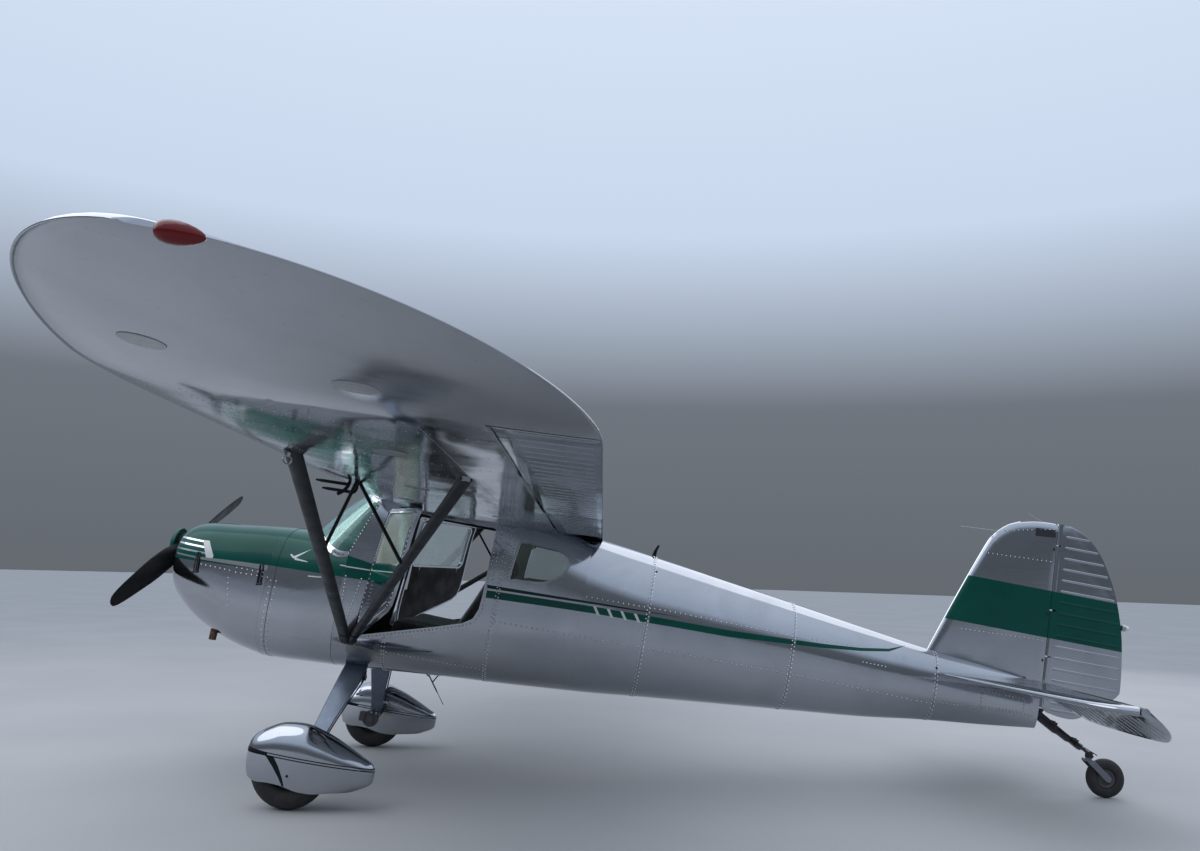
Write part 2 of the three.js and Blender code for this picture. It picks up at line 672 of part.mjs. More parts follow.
// An upright plate, its half thickness running from y0 at x0 to y1 at x1
function taperedPlate(outline, x0, y0, x1, y1) {
  const ring = (side) => outline.map(([x, z]) => {
    const t = Math.min(1, Math.max(0, (x - x0) / (x1 - x0)));
    return [x, side * (y0 + t * (y1 - y0)), z];
  });
  return ringSolid([ring(-1), ring(1)]);
}
const RUDDER_R = 30;
const hingeA = [FIN_HINGE[0][0], 0, -80];
const hingeB = [FIN_HINGE[1][0], 0, 1260];
const rudderNose = rod(hingeA, hingeB, RUDDER_R, RUDDER_R, 18);
const rudderCove = rod(hingeA, hingeB, RUDDER_R + 6.5, RUDDER_R + 6.5, 18);
const HINGE_LEAN = (FIN_HINGE[1][0] - FIN_HINGE[0][0]) / (FIN_HINGE[1][1] - FIN_HINGE[0][1]);
const rudderX = (z) => FIN_HINGE[0][0] + HINGE_LEAN * (z - FIN_HINGE[0][1]);
const aftOfHinge = (d) => prismY([
  [rudderX(-FAR) + d, -FAR], [rudderX(2 * FAR) + d, 2 * FAR], [6 * FAR, 2 * FAR], [6 * FAR, -FAR],
], -FAR, FAR);
const fin = taperedPlate(FIN_OUTLINE, 3760, 14, 4560, 33)
  .subtract(rudderCove)
  .subtract(aftOfHinge(0))
  .subtract(rod([STAB_HINGE_X, -100, STAB_HINGE_Z], [STAB_HINGE_X, 100, STAB_HINGE_Z], 30, 30, 24))
  .subtract(tailGrown);
const rudderDisc = (z, half, r) => rod([rudderX(z), 0, z - half], [rudderX(z), 0, z + half], r, r, 12);
const finPlates = RUDDER_BRACKETS.map((z) => rudderDisc(z, PLATE / 2, PLATE_R)
  .add(box(rudderX(z) - RUDDER_R - 40, rudderX(z), -PLATE_R, PLATE_R, z - PLATE / 2, z + PLATE / 2)));
place("fin", union([largest(fin), ...finPlates]), ALU);
const rudderGroup = pivot([FIN_HINGE[0][0], 0, FIN_HINGE[0][1]], [0, 0, 1], 0);
const rudderBody = taperedPlate(RUDDER_OUTLINE, 4560, RUDDER_R - 1, 5071, 4)
  .add(rudderNose.intersect(box(4400, 4700, -100, 100, -8, 1228)));
const rudder = RUDDER_BRACKETS.reduce(
  (made, z) => made.subtract(rudderDisc(z, PLATE / 2 + GAP, RUDDER_R + 4)),
  rudderBody,
);
place("rudder", rudder, ALU, rudderGroup, [FIN_HINGE[0][0], 0, FIN_HINGE[0][1]]);

// Tailplane and the elevator on its one torque tube
const STAB_OUTLINE = [
  [3801, 60], [3812, 150], [4010, 755], [4200, 1245], [4280, 1372], [4360, 1430], [STAB_HINGE_X, 1449],
  [STAB_HINGE_X, 60],
];
const ELEVATOR_OUTLINE = [
  [STAB_HINGE_X, 92], [STAB_HINGE_X, 1449], [4550, 1441], [4632, 1400], [4692, 1322], [4734, 1198],
  [4756, 966], [4766, 676], [4766, 406], [4734, 300], [4632, 190], [4512, 110],
];
const STAB_R = 24;
function plateFlat(outline, x0, t0, x1, t1, slope = 0) {
  const ring = (side) => outline.map(([x, y]) => {
    const t = Math.min(1, Math.max(0, (x - x0) / (x1 - x0)));
    return [x, y, STAB_HINGE_Z + (x - STAB_HINGE_X) * Math.tan(slope * DEG) + side * (t0 + t * (t1 - t0))];
  });
  return ringSolid([ring(-1), ring(1)]);
}
const tubeRod = (r, y0, y1) => rod(
  [STAB_HINGE_X, y0, STAB_HINGE_Z], [STAB_HINGE_X, y1, STAB_HINGE_Z], r, r, 16);
const stabPlates = ELEVATOR_BRACKETS.map((y) => tubeRod(PLATE_R, y - PLATE / 2, y + PLATE / 2).add(box(
  STAB_HINGE_X - STAB_R - 40, STAB_HINGE_X, y - PLATE / 2, y + PLATE / 2,
  STAB_HINGE_Z - PLATE_R, STAB_HINGE_Z + PLATE_R)));
const stabRight = union([
  plateFlat(STAB_OUTLINE, 3801, 12, STAB_HINGE_X, 26, STAB_SLOPE)
    .subtract(tubeRod(STAB_R + 6, 0, 1600))
    .subtract(box(STAB_HINGE_X, 5000, 0, 1600, 0, 300)),
  ...stabPlates,
]);
place("stabilizer_right", stabRight.subtract(tailGrown), ALU);
place("stabilizer_left", mirrorY(stabRight).subtract(tailGrown), ALU);
const elevatorHalf = ELEVATOR_BRACKETS.reduce(
  (made, y) => made.subtract(tubeRod(STAB_R + 4, y - PLATE / 2 - GAP, y + PLATE / 2 + GAP)),
  plateFlat(ELEVATOR_OUTLINE, STAB_HINGE_X, STAB_R - 1, 4766, 4).add(tubeRod(STAB_R, 92, 1446)),
);
const elevator = union([elevatorHalf, mirrorY(elevatorHalf), tubeRod(16, -120, 120)]);
const hingePoint = [STAB_HINGE_X, 0, STAB_HINGE_Z];
const elevatorGroup = pivot(hingePoint, [0, 1, 0], ELEVATOR_DROOP);
place("elevator", elevator, ALU, elevatorGroup, hingePoint);
const tailSlot = union([
  tubeRod(STAB_R + 6, -200, 200),
  rudderCove.intersect(box(4400, 4700, -100, 100, -300, 400)),
]);
place("tailcone", tailcone.subtract(tailSlot).subtract(aftOfHinge(-34)), ALU);

// Wing struts, one streamlined tube each, and the jury struts between them and the wing
const STRUT_FOOT = [[-5, 490, -374], [28, 490, -368]];
const STRUT_HEAD = [[256, 2994, 604], [948, 2994, 604]];
const STRUT_SIZE = [[74, 32], [54, 26]];
const STRUT_TRIM = [-300, 1500, -3000, 3000, -420, 600];
const JURY = [[264, 2000, 566], [174, 2000, 205], [560, 2000, 205]];
for (const [name, side] of [["left", -1], ["right", 1]]) {
  const flip = ([x, y, z]) => [x, side * y, z];
  const wingKeep = side > 0 ? wingMade : mirrorY(wingMade);
  const grown = wingKeep.translate([0, 0, -GAP]);
  const strut = (i, grow) => blade(
    flip(STRUT_FOOT[i]), flip(STRUT_HEAD[i]), STRUT_SIZE[i][0] + grow, STRUT_SIZE[i][1] + grow);
  const trimmed = (made) => made.subtract(grown).subtract(hullGrown).intersect(box(...STRUT_TRIM));
  const front = trimmed(strut(0, 0));
  const rear = trimmed(strut(1, 0).subtract(strut(0, 2 * GAP)));
  place("strut_front_" + name, largest(front), DARK);
  place("strut_rear_" + name, largest(rear), DARK);
  const jury = union([
    rod(flip(JURY[0]), flip(JURY[1]), 9, 9, 8),
    rod(flip(JURY[0]), flip(JURY[2]), 9, 9, 8),
    rod(flip([264, 2000, 546]), flip([264, 2000, 626]), 13, 13, 8),
  ]).subtract(grown).subtract(strut(0, 2 * GAP)).subtract(strut(1, 2 * GAP));
  place("jury_strut_" + name, largest(jury), DARK);
}

// Main legs, wheels and spats
// x, y, z, width along x, thickness
const LEG_TABLE = [
  [56, 250, -500, 142, 22], [55, 400, -600, 144, 20], [24, 660, -835, 102, 17], [10, 790, -960, 86, 15],
  [-4, 850, -1012, 78, 15], [-24, 872, -1052, 70, 14], [-33, 876, -1100, 64, 14],
];
function legSolid(side, grow) {
  return ringSolid(LEG_TABLE.map(([x, y, z, wide, thick], i) => {
    const before = LEG_TABLE[Math.max(0, i - 1)];
    const after = LEG_TABLE[Math.min(LEG_TABLE.length - 1, i + 1)];
    const dy = after[1] - before[1];
    const dz = after[2] - before[2];
    const l = Math.hypot(dy, dz);
    const h = (thick + grow) / 2;
    const w = (wide + grow) / 2;
    const u = [(-dz / l) * h, (dy / l) * h];
    return [
      [x - w, side * (y + u[0]), z + u[1]], [x + w, side * (y + u[0]), z + u[1]],
      [x + w, side * (y - u[0]), z - u[1]], [x - w, side * (y - u[0]), z - u[1]],
    ];
  }));
}
// x, top, bottom, half width, height of the widest point, upper and lower roundness
const SPAT_STATIONS = [
  [-290, -965, -1060, 24, -1008, 2.1, 2.1],
  [-279, -936, -1108, 52, -1005, 2.1, 2.4],
  [-252, -904, -1160, 78, -1000, 2.2, 2.8],
  [-200, -866, -1220, 99, -992, 2.3, 3.4],
  [-112, -826, -1240, 114, -986, 2.3, 3.6],
  [0, -814, -1240, 117, -988, 2.3, 3.6],
  [120, -838, -1225, 109, -998, 2.3, 3.4],
  [260, -888, -1165, 87, -1006, 2.2, 3],
  [380, -942, -1108, 52, -1014, 2.2, 2.6],
  [432, -968, -1076, 30, -1018, 2.1, 2.4],
  [443, -990, -1062, 14, -1022, 2, 2.2],
];
// The spat's lower edge, scalloped round the tyre
const SPAT_EDGE = [
  [-340, -1136], [-250, -1140], [-190, -1150], [-120, -1142], [-40, -1144], [40, -1160], [110, -1163],
  [160, -1158], [210, -1148], [300, -1134], [400, -1120], [480, -1110], [480, -1400], [-340, -1400],
];
const SPAT_WALL = 7;
const SPAT_RING = 20;
for (const [name, side] of [["left", -1], ["right", 1]]) {
  const leg = legSolid(side, 0).subtract(hullGrown);
  const axle = rod([AXLE_X, side * 866, AXLE_Z], [AXLE_X, side * 1078, AXLE_Z], 16, 16, 20);
  const axleHole = rod([AXLE_X, side * 850, AXLE_Z], [AXLE_X, side * 1078.4, AXLE_Z], 16.6, 16.6, 20);
  const spat = bodyLoft(SPAT_STATIONS, 0, 0, SPAT_RING)
    .subtract(bodyLoft(SPAT_STATIONS, SPAT_WALL, -SPAT_WALL, SPAT_RING))
    .translate([0, side * TRACK_HALF, 0])
    .subtract(prismY(SPAT_EDGE, side * 700, side * 1300))
    .subtract(legSolid(side, 4 * GAP))
    .subtract(legSolid(side, 2 * GAP).translate([0, 0, -GAP]))
    .subtract(axleHole);
  place("main_leg_" + name, largest(leg).add(axle), ALU);
  place("spat_" + name, largest(spat), ALU);

  const wheelGroup = pivot([AXLE_X, side * TRACK_HALF, AXLE_Z], [0, 1, 0], -GROUND_ANGLE);
  const tyreProfile = [
    [103, -50], [125, -72], [160, -76], [198, -60], [217, -34], [222, -12], [222, 12], [217, 34], [198, 60],
    [160, 76], [125, 72], [103, 50],
  ];
  place("tyre_" + name, lathe(tyreProfile, 28), RUBBER, wheelGroup);
  place("wheel_" + name, lathe([
    [16.4, -52], [60, -52], [70, -42], [102.6, -52], [102.6, 52], [70, 42], [60, 52], [16.4, 52],
  ], 28), ALU, wheelGroup);
}

// Tail spring, steering fork and tailwheel
const FORK_X = 4910;
const HOUSING_FOOT_Z = -274;
const springRings = [
  [4530.7, -38, 60, 32], [4620, -87, 56, 26], [4720, -143, 52, 20], [4830, -205, 48, 16],
  [4930, -262, 46, 14],
].map(([x, z, wide, thick]) => [
  [x, -wide / 2, z + thick / 2], [x, wide / 2, z + thick / 2],
  [x, wide / 2, z - thick / 2], [x, -wide / 2, z - thick / 2],
]);
const housing = rod([FORK_X, 0, -234], [FORK_X, 0, HOUSING_FOOT_Z], 24, 24, 20);
const springCut = ringSolid(springRings).intersect(box(4400, 5000, -100, 100, HOUSING_FOOT_Z, 100));
place("tail_spring", largest(springCut.add(housing).subtract(tailGrown)), STEEL);
const forkPoint = [FORK_X, 0, -290];
const forkGroup = pivot(forkPoint, [0, 0, 1], 0);
const forkArm = (side) => prismY([
  [4888, -284], [4932, -284], [5052, -376], [5046, -402], [5020, -402], [4888, -300],
], side * 38, side * 46);
const fork = union([
  rod([FORK_X, 0, HOUSING_FOOT_Z - GAP], [FORK_X, 0, -290], 20, 20, 20),
  box(4888, 4932, -46, 46, -298, -284),
  forkArm(1),
  forkArm(-1),
  rod([TAIL_AXLE_X, -46, TAIL_AXLE_Z], [TAIL_AXLE_X, 46, TAIL_AXLE_Z], 8, 8, 14),
]);
place("tail_fork", largest(fork), STEEL, forkGroup, forkPoint);
const tailWheelGroup = new THREE.Group();
tailWheelGroup.position.set(TAIL_AXLE_X - forkPoint[0], 0, TAIL_AXLE_Z - forkPoint[2]);
tailWheelGroup.rotation.y = -GROUND_ANGLE * DEG;
forkGroup.add(tailWheelGroup);
place("tail_tyre", lathe([
  [58, -18], [64, -28], [88, -32], [110, -27], [TAIL_TYRE_R, -10], [TAIL_TYRE_R, 10], [110, 27], [88, 32],
  [64, 28], [58, 18],
], 24), RUBBER, tailWheelGroup);
place("tail_wheel", lathe([
  [8.4, -30], [30, -30], [34, -18], [57.7, -18], [57.7, 18], [34, 18], [30, 30], [8.4, 30],
], 24), ALU, tailWheelGroup);

export default root;
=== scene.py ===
from math import cos, degrees, hypot, pi, radians, sin, sqrt, tan

import bmesh
import bpy
import numpy as np
from mathutils import Matrix, Vector
from mathutils.bvhtree import BVHTree


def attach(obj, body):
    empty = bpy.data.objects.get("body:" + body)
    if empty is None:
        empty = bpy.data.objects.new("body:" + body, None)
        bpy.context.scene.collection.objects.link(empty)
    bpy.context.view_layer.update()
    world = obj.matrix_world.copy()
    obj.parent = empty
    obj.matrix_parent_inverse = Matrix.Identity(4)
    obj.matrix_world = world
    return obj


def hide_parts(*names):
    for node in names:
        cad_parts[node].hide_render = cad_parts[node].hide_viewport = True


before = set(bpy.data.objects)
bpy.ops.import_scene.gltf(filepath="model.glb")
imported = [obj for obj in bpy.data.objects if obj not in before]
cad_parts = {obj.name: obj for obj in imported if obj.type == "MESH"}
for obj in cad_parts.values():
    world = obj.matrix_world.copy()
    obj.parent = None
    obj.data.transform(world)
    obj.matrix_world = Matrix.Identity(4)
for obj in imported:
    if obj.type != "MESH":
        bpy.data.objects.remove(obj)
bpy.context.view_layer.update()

# The layout is level and in millimetres, as in the part's source: x aft, y to the right wing, z up.
# ROW tips it nose up onto its wheels, in metres.
ROW = (Matrix.Translation((-1.8129, 0, 1.2731)) @ Matrix.Rotation(radians(8.79), 4, "Y")
       @ Matrix.Scale(0.001, 4))
MIRROR = Matrix.Scale(-1, 4, (0, 1, 0))
SIDES = (("left", -1), ("right", 1))
FAR = 1000
GAP = 0.3

# x, top, bottom, half width, height of the widest point, upper and lower roundness
COWL = [
    (-1312, 62, -200, 215, -60, 2.3, 2.3), (-1302, 98, -255, 262, -60, 2.4, 2.4),
    (-1272, 142, -322, 312, -60, 2.5, 2.5), (-1212, 173, -380, 354, -60, 2.6, 2.6),
    (-1110, 192, -456, 390, -60, 2.7, 2.7), (-960, 211, -525, 418, -65, 2.8, 2.8),
    (-800, 232, -575, 440, -70, 2.9, 3.0), (-606, 253, -612, 456, -70, 3.0, 3.1),
]
DECK = [
    (-606, 253, -612, 456, -70, 3.0, 3.1), (-455, 261, -606, 480, -60, 3.1, 3.2),
    (-300, 265, -594, 506, -40, 3.2, 3.3), (-100, 268, -580, 528, -20, 3.3, 3.4),
]
CABIN = [
    (-100, 660, -580, 528, 20, 6.0, 3.4), (100, 660, -564, 530, 20, 6.0, 3.4),
    (700, 655, -516, 530, 20, 6.0, 3.4), (1000, 625, -497, 520, 20, 5.0, 3.3),
    (1250, 590, -479, 500, 20, 4.0, 3.2), (1419, 558, -467, 480, 20, 3.4, 3.1),
]
TAIL = [
    (1418.3, 558, -467, 480, 20, 3.4, 3.1), (1560, 542, -457, 461, 20, 3.1, 3.0),
    (1845, 505, -430, 420, 20, 2.7, 2.8), (2310, 439, -388, 350, 20, 2.5, 2.6),
    (2876, 359, -335, 274, 15, 2.4, 2.5), (3367, 287, -288, 208, 5, 2.3, 2.4),
    (3766, 232, -235, 156, 0, 2.3, 2.3), (4200, 190, -190, 100, 0, 2.2, 2.2),
    (4530, 158, -151, 46, 0, 2.1, 2.1),
]
SPAT = [
    (-290, -965, -1060, 24, -1008, 2.1, 2.1), (-279, -936, -1108, 52, -1005, 2.1, 2.4),
    (-252, -904, -1160, 78, -1000, 2.2, 2.8), (-200, -866, -1220, 99, -992, 2.3, 3.4),
    (-112, -826, -1240, 114, -986, 2.3, 3.6), (0, -814, -1240, 117, -988, 2.3, 3.6),
    (120, -838, -1225, 109, -998, 2.3, 3.4), (260, -888, -1165, 87, -1006, 2.2, 3),
    (380, -942, -1108, 52, -1014, 2.2, 2.6), (432, -968, -1076, 30, -1018, 2.1, 2.4),
    (443, -990, -1062, 14, -1022, 2, 2.2),
]
SPAT_EDGE = [
    (-340, -1136), (-250, -1140), (-190, -1150), (-120, -1142), (-40, -1144), (40, -1160), (110, -1163),
    (160, -1158), (210, -1148), (300, -1134), (400, -1120), (480, -1110), (480, -1400), (-340, -1400),
]
FIREWALL_X = -600
CABIN_X = -100
TAIL_X = 1418
SILL_Z = -420

# Doors
DOOR_OPEN = 64.4
HINGE_TOP = (91, 536, 502)
HINGE_FOOT = (29, 536, -325)
DOOR_OUTLINE = [
    (34, -322), (84, -322), (560, -180), (700, -135), (760, -95), (786, -30), (793, 60), (796, 470),
    (786, 486), (98, 492),
]
DOOR_HEEL = [(20, -340), (222, -340), (222, -277), (56, -314), (20, -314)]
DOOR_WINDOW = [
    (98, 150), (118, 132), (700, 142), (728, 168), (740, 430), (716, 452), (146, 458), (122, 440),
]
REAR_WINDOW = [
    (944, 204), (980, 196), (1130, 206), (1214, 244), (1268, 292), (1290, 350), (1262, 392),
    (1196, 416), (1088, 424), (990, 426), (962, 404),
]
SCREEN_CORNER = [(-120, 168), (-102, 158), (36, 512), (36, FAR), (-200, FAR), (-200, 168)]

# Wing
CHORD = 1473
ROOT_Y = 506
HALF_SPAN = 5080
LE_Z = 571
INCIDENCE = radians(1.0)
DIHEDRAL = radians(1.8)
TIP_START, TIP_RISE, TIP_POWER, TIP_X = 4200, 80, 1.3, 660
LEADING_BEND_Y, TRAILING_BEND_Y = 3750, 4200
SURFACE_X, SURFACE_GAP = 1205, 8
FLAP_SPAN = (640, 1905)
AILERON_SPAN = (1930, 4265)
FLAP_BRACKETS = (760, 1785)
AILERON_BRACKETS = (2060, 3100, 4140)
PLATE = 8

# Tail
FIN_FOOT, FIN_HEAD = (4563, 126), (4554, 1228)
STAB_X, STAB_Z, STAB_SLOPE, ELEVATOR_DROOP = 4446, 140, 4.3, 30
FIN_OUTLINE = [
    (3760, 150), (3766, 232), (3906, 604), (4064, 992), (4110, 1072), (4152, 1119), (4210, 1164),
    (4281, 1196), (4415, 1224), (4554, 1228), (4563, 126), (4450, 120),
]
RUDDER_OUTLINE = [
    (4563, -8), (4554, 1228), (4622, 1228), (4700, 1200), (4768, 1154), (4830, 1090), (4887, 1005),
    (4974, 822), (5037, 596), (5062, 400), (5071, 201), (5060, 160), (5025, 122), (4940, 60),
    (4807, -39), (4700, -52), (4600, -36),
]
STAB_OUTLINE = [
    (3801, 60), (3812, 150), (4010, 755), (4200, 1245), (4280, 1372), (4360, 1430), (STAB_X, 1449),
    (STAB_X, 60),
]
ELEVATOR_OUTLINE = [
    (STAB_X, 92), (STAB_X, 1449), (4550, 1441), (4632, 1400), (4692, 1322), (4734, 1198), (4756, 966),
    (4766, 676), (4766, 406), (4734, 300), (4632, 190), (4512, 110),
]

# Struts and undercarriage
STRUT_FOOT = [(-5, 490, -374), (28, 490, -368)]
STRUT_HEAD = [(256, 2994, 604), (948, 2994, 604)]
STRUT_SIZE = [(74, 32), (54, 26)]
JURY = [(264, 2000, 566), (174, 2000, 205), (560, 2000, 205)]
# x, y, z, width along x, thickness
LEG_TABLE = [
    (56, 250, -500, 142, 22), (55, 400, -600, 144, 20), (24, 660, -835, 102, 17), (10, 790, -960, 86, 15),
    (-4, 850, -1012, 78, 15), (-24, 872, -1052, 70, 14), (-33, 876, -1100, 64, 14),
]
TRACK_HALF, AXLE_X, AXLE_Z = 983, -33, -1068.7
PROP_X, PROP_ANGLE = -1370, 25.1
# radius, chord, thickness, pitch from the disc
BLADE_TABLE = [
    (45, 80, 50, 40), (120, 100, 40, 38), (230, 128, 25, 32), (420, 138, 17, 24), (620, 122, 12, 18),
    (800, 96, 9, 14), (880, 62, 7, 12), (898, 24, 5, 12),
]


# Curves and tables

def pchip(x, y, at):
    """Monotone cubic interpolation of the rows of y."""
    h = np.diff(x)
    slope = np.diff(y, axis=0) / h[:, None]
    m = np.zeros_like(y)
    m[0], m[-1] = slope[0], slope[-1]
    for k in range(1, len(x) - 1):
        same = slope[k - 1] * slope[k] > 0
        a, b = 2 * h[k] + h[k - 1], h[k] + 2 * h[k - 1]
        below = np.where(same, a / np.where(same, slope[k - 1], 1) + b / np.where(same, slope[k], 1), 1)
        m[k] = np.where(same, (a + b) / below, 0)
    out = []
    for q in at:
        k = int(np.clip(np.searchsorted(x, q) - 1, 0, len(x) - 2))
        t = (q - x[k]) / h[k]
        out.append((1 + 2 * t) * (1 - t) ** 2 * y[k] + t * (1 - t) ** 2 * h[k] * m[k]
                   + t * t * (3 - 2 * t) * y[k + 1] + t * t * (t - 1) * h[k] * m[k + 1])
    return np.array(out)


def fine(table, step):
    """A station table with rows between its own, at most step apart."""
    rows = np.array(table, float)
    at = []
    for a, b in zip(rows[:-1, 0], rows[1:, 0]):
        n = max(2, int(round((b - a) / step)))
        at += [a + (b - a) * i / n for i in range(n)]
    at.append(rows[-1, 0])
    return [(x, *row) for x, row in zip(at, pchip(rows[:, 0], rows[:, 1:], at))]


def smooth_line(points, per, closed=False):
    """A Catmull-Rom line through points, with per places from each to the next."""
    pts = [np.array(p, float) for p in points]
    n = len(pts)
    out = []
    for i in range(n if closed else n - 1):
        p = [pts[(i + k) % n] if closed else pts[min(max(i + k, 0), n - 1)] for k in (-1, 0, 1, 2)]
        for j in range(per):
            t = j / per
            out.append(0.5 * (2 * p[1] + (p[2] - p[0]) * t + (2 * p[0] - 5 * p[1] + 4 * p[2] - p[3]) * t ** 2
                              + (3 * p[1] - p[0] - 3 * p[2] + p[3]) * t ** 3))
    if not closed:
        out.append(pts[-1])
    return [tuple(p) for p in out]


ARC_STEPS = 5
SHARP_CORNER = 160


def round_corners(outline, radius):
    """A closed outline with an arc at each corner tighter than SHARP_CORNER degrees."""
    out = []
    n = len(outline)
    for i, here in enumerate(outline):
        p = Vector(here)
        a = Vector(outline[i - 1]) - p
        b = Vector(outline[(i + 1) % n]) - p
        angle = a.angle(b)
        if degrees(angle) > SHARP_CORNER:
            out.append(tuple(p))
            continue
        back = min(radius / tan(angle / 2), 0.45 * a.length, 0.45 * b.length)
        start, end = p + a.normalized() * back, p + b.normalized() * back
        for j in range(ARC_STEPS + 1):
            t = j / ARC_STEPS
            out.append(tuple((1 - t) ** 2 * start + 2 * t * (1 - t) * p + t * t * end))
    return out


def offset(outline, d):
    """A closed outline moved inwards by d."""
    pts = [Vector(p) for p in outline]
    area = sum(a.x * b.y - b.x * a.y for a, b in zip(pts, pts[1:] + pts[:1]))
    turn = 1 if area > 0 else -1
    out = []
    for i, p in enumerate(pts):
        a = (p - pts[i - 1]).normalized()
        b = (pts[(i + 1) % len(pts)] - p).normalized()
        na, nb = Vector((-a.y, a.x)) * turn, Vector((-b.y, b.x)) * turn
        n = na + nb
        n = n.normalized() if n.length > 1e-6 else na
        out.append(tuple(p + n * d / max(0.45, n.dot(na))))
    return out


# Solids, each a pair of vertices and faces

def circle(count, wide=1.0, tall=None):
    """Points round a circle, or round an ellipse with two half widths."""
    tall = wide if tall is None else tall
    return [(wide * cos(a), tall * sin(a)) for a in (2 * pi * k / count for k in range(count))]


def loft(rings, caps=True):
    n = len(rings[0])
    verts = [tuple(p) for ring in rings for p in ring]
    faces = []
    for i in range(len(rings) - 1):
        for j in range(n):
            k = (j + 1) % n
            faces.append((i * n + j, (i + 1) * n + j, (i + 1) * n + k, i * n + k))
    if caps:
        faces.append(tuple(range(n)))
        faces.append(tuple((len(rings) - 1) * n + j for j in reversed(range(n))))
    return verts, faces


def joined(parts):
    verts, faces = [], []
    for v, f in parts:
        base = len(verts)
        verts += list(v)
        faces += [tuple(i + base for i in face) for face in f]
    return verts, faces


def doubled(*parts):
    """Parts of the right side and their mirror images as one."""
    verts, faces = joined(parts)
    return joined([([(x, -y, z) for x, y, z in verts], faces), (verts, faces)])


def moved(part, matrix):
    return [tuple(matrix @ Vector(p)) for p in part[0]], part[1]


def prism_x(outline, x0, x1):
    return loft([[(x, y, z) for y, z in outline] for x in (x0, x1)])


def prism_y(outline, y0, y1):
    return loft([[(x, y, z) for x, z in outline] for y in (y0, y1)])


def block(x0, x1, y0, y1, z0, z1):
    return prism_y([(x0, z0), (x1, z0), (x1, z1), (x0, z1)], y0, y1)


def frame_along(path):
    """Two unit vectors across the path at each of its points, carried along it."""
    pts = [Vector(p) for p in path]
    tangents = [(pts[min(len(pts) - 1, i + 1)] - pts[max(0, i - 1)]).normalized() for i in range(len(pts))]
    side = Vector((1, 0, 0)) if abs(tangents[0].x) < 0.9 else Vector((0, 0, 1))
    out = []
    for t in tangents:
        side = (side - t * side.dot(t)).normalized()
        out.append((side.copy(), t.cross(side)))
    return out


def tube(path, radius, sides, flat=1.0):
    """A round tube along a path. radius is a number or one per point; flat squeezes one way."""
    radii = radius if isinstance(radius, (list, tuple)) else [radius] * len(path)
    return loft([[tuple(Vector(p) + u * a + v * b) for a, b in circle(sides, r, r * flat)]
                 for p, r, (u, v) in zip(path, radii, frame_along(path))])


def rod(a, b, r, sides=24):
    return tube([a, b], r, sides)


def pin(x, z, y0, y1, r, sides=24):
    """A rod across the aircraft."""
    return rod((x, y0, z), (x, y1, z), r, sides)


def blade_rod(a, b, long, thin, sides):
    """A strut with a streamlined section: long lies along x, thin across."""
    a, b = Vector(a), Vector(b)
    way = (b - a).normalized()
    u = (Vector((1, 0, 0)) - way * way.x).normalized()
    v = way.cross(u)
    around = [u * long / 2 * c + v * thin / 2 * s * (1.08 - 0.16 * c) for c, s in circle(sides)]
    return loft([[tuple(p + q) for q in around] for p in (a, b)])


def lathe(profile, count, centre=(0, 0, 0)):
    """A closed profile of radius and y turned about the y axis."""
    x0, y0, z0 = centre
    verts, faces = loft([[(x0 + r * c, y0 + y, z0 + r * s) for r, y in profile] for c, s in circle(count)],
                        caps=False)
    n = len(profile)
    last = (count - 1) * n
    faces += [(last + j, j, (j + 1) % n, last + (j + 1) % n) for j in range(n)]
    return verts, faces


def lathe_x(profile, z, count=32):
    """A profile of x and radius turned about a line along x."""
    return loft([[(x, a, z + b) for a, b in circle(count, r)] for x, r in profile])


def clamp(centre, way, wide, tall, long):
    """A block round a sloping bar, with its half width, half height and length along the bar."""
    up = Vector((-way.z, 0, way.x))
    corners = [Vector((0, y * wide, 0)) + up * z * tall for y, z in ((-1, -1), (1, -1), (1, 1), (-1, 1))]
    return loft([[tuple(centre + way * d + q) for q in corners] for d in (-long / 2, long / 2)])


def bead(path, width, height, normal):
    """A pressed bead: a half-round ridge along a path, on a surface with this normal."""
    n = Vector(normal).normalized()
    pts = [Vector(p) for p in path]
    last = len(pts) - 1
    rings = []
    for i, p in enumerate(pts):
        t = (pts[min(i + 1, last)] - pts[max(i - 1, 0)]).normalized()
        grow = (0.05, 0.75, 1.0)[min(i, last - i, 2)]
        half = t.cross(n).normalized() * width / 2 * grow
        angles = [pi * k / 6 for k in range(7)]
        ring = [p + half * cos(a) + n * height * grow * sin(a) for a in angles]
        rings.append([tuple(q) for q in [*ring, p - n * 2 - half * 0.9, p - n * 2 + half * 0.9]])
    return loft(rings)


def ridge(start, end, near=6, far=14):
    """The places of a bead's points between its ends."""
    return [start, start + near, start + far, (start + end) / 2, end - far, end - near, end]


# Meshes

def as_mesh(part):
    if isinstance(part, bpy.types.Mesh):
        return part
    mesh = bpy.data.meshes.new("made")
    mesh.from_pydata(part[0], [], part[1])
    bm = bmesh.new()
    bm.from_mesh(mesh)
    bmesh.ops.recalc_face_normals(bm, faces=bm.faces)
    bm.to_mesh(mesh)
    bm.free()
    return mesh


def placed(name, data):
    obj = bpy.data.objects.new(name, data)
    bpy.context.scene.collection.objects.link(obj)
    return obj


def baked(obj):
    """The object's mesh with its modifiers applied, which are then removed."""
    mesh = bpy.data.meshes.new_from_object(obj.evaluated_get(bpy.context.evaluated_depsgraph_get()))
    obj.modifiers.clear()
    return mesh


def cut(*parts):
    return [("DIFFERENCE", part) for part in parts]


def within(part):
    return [("INTERSECT", part)]


def plus(part):
    return [("UNION", part)]


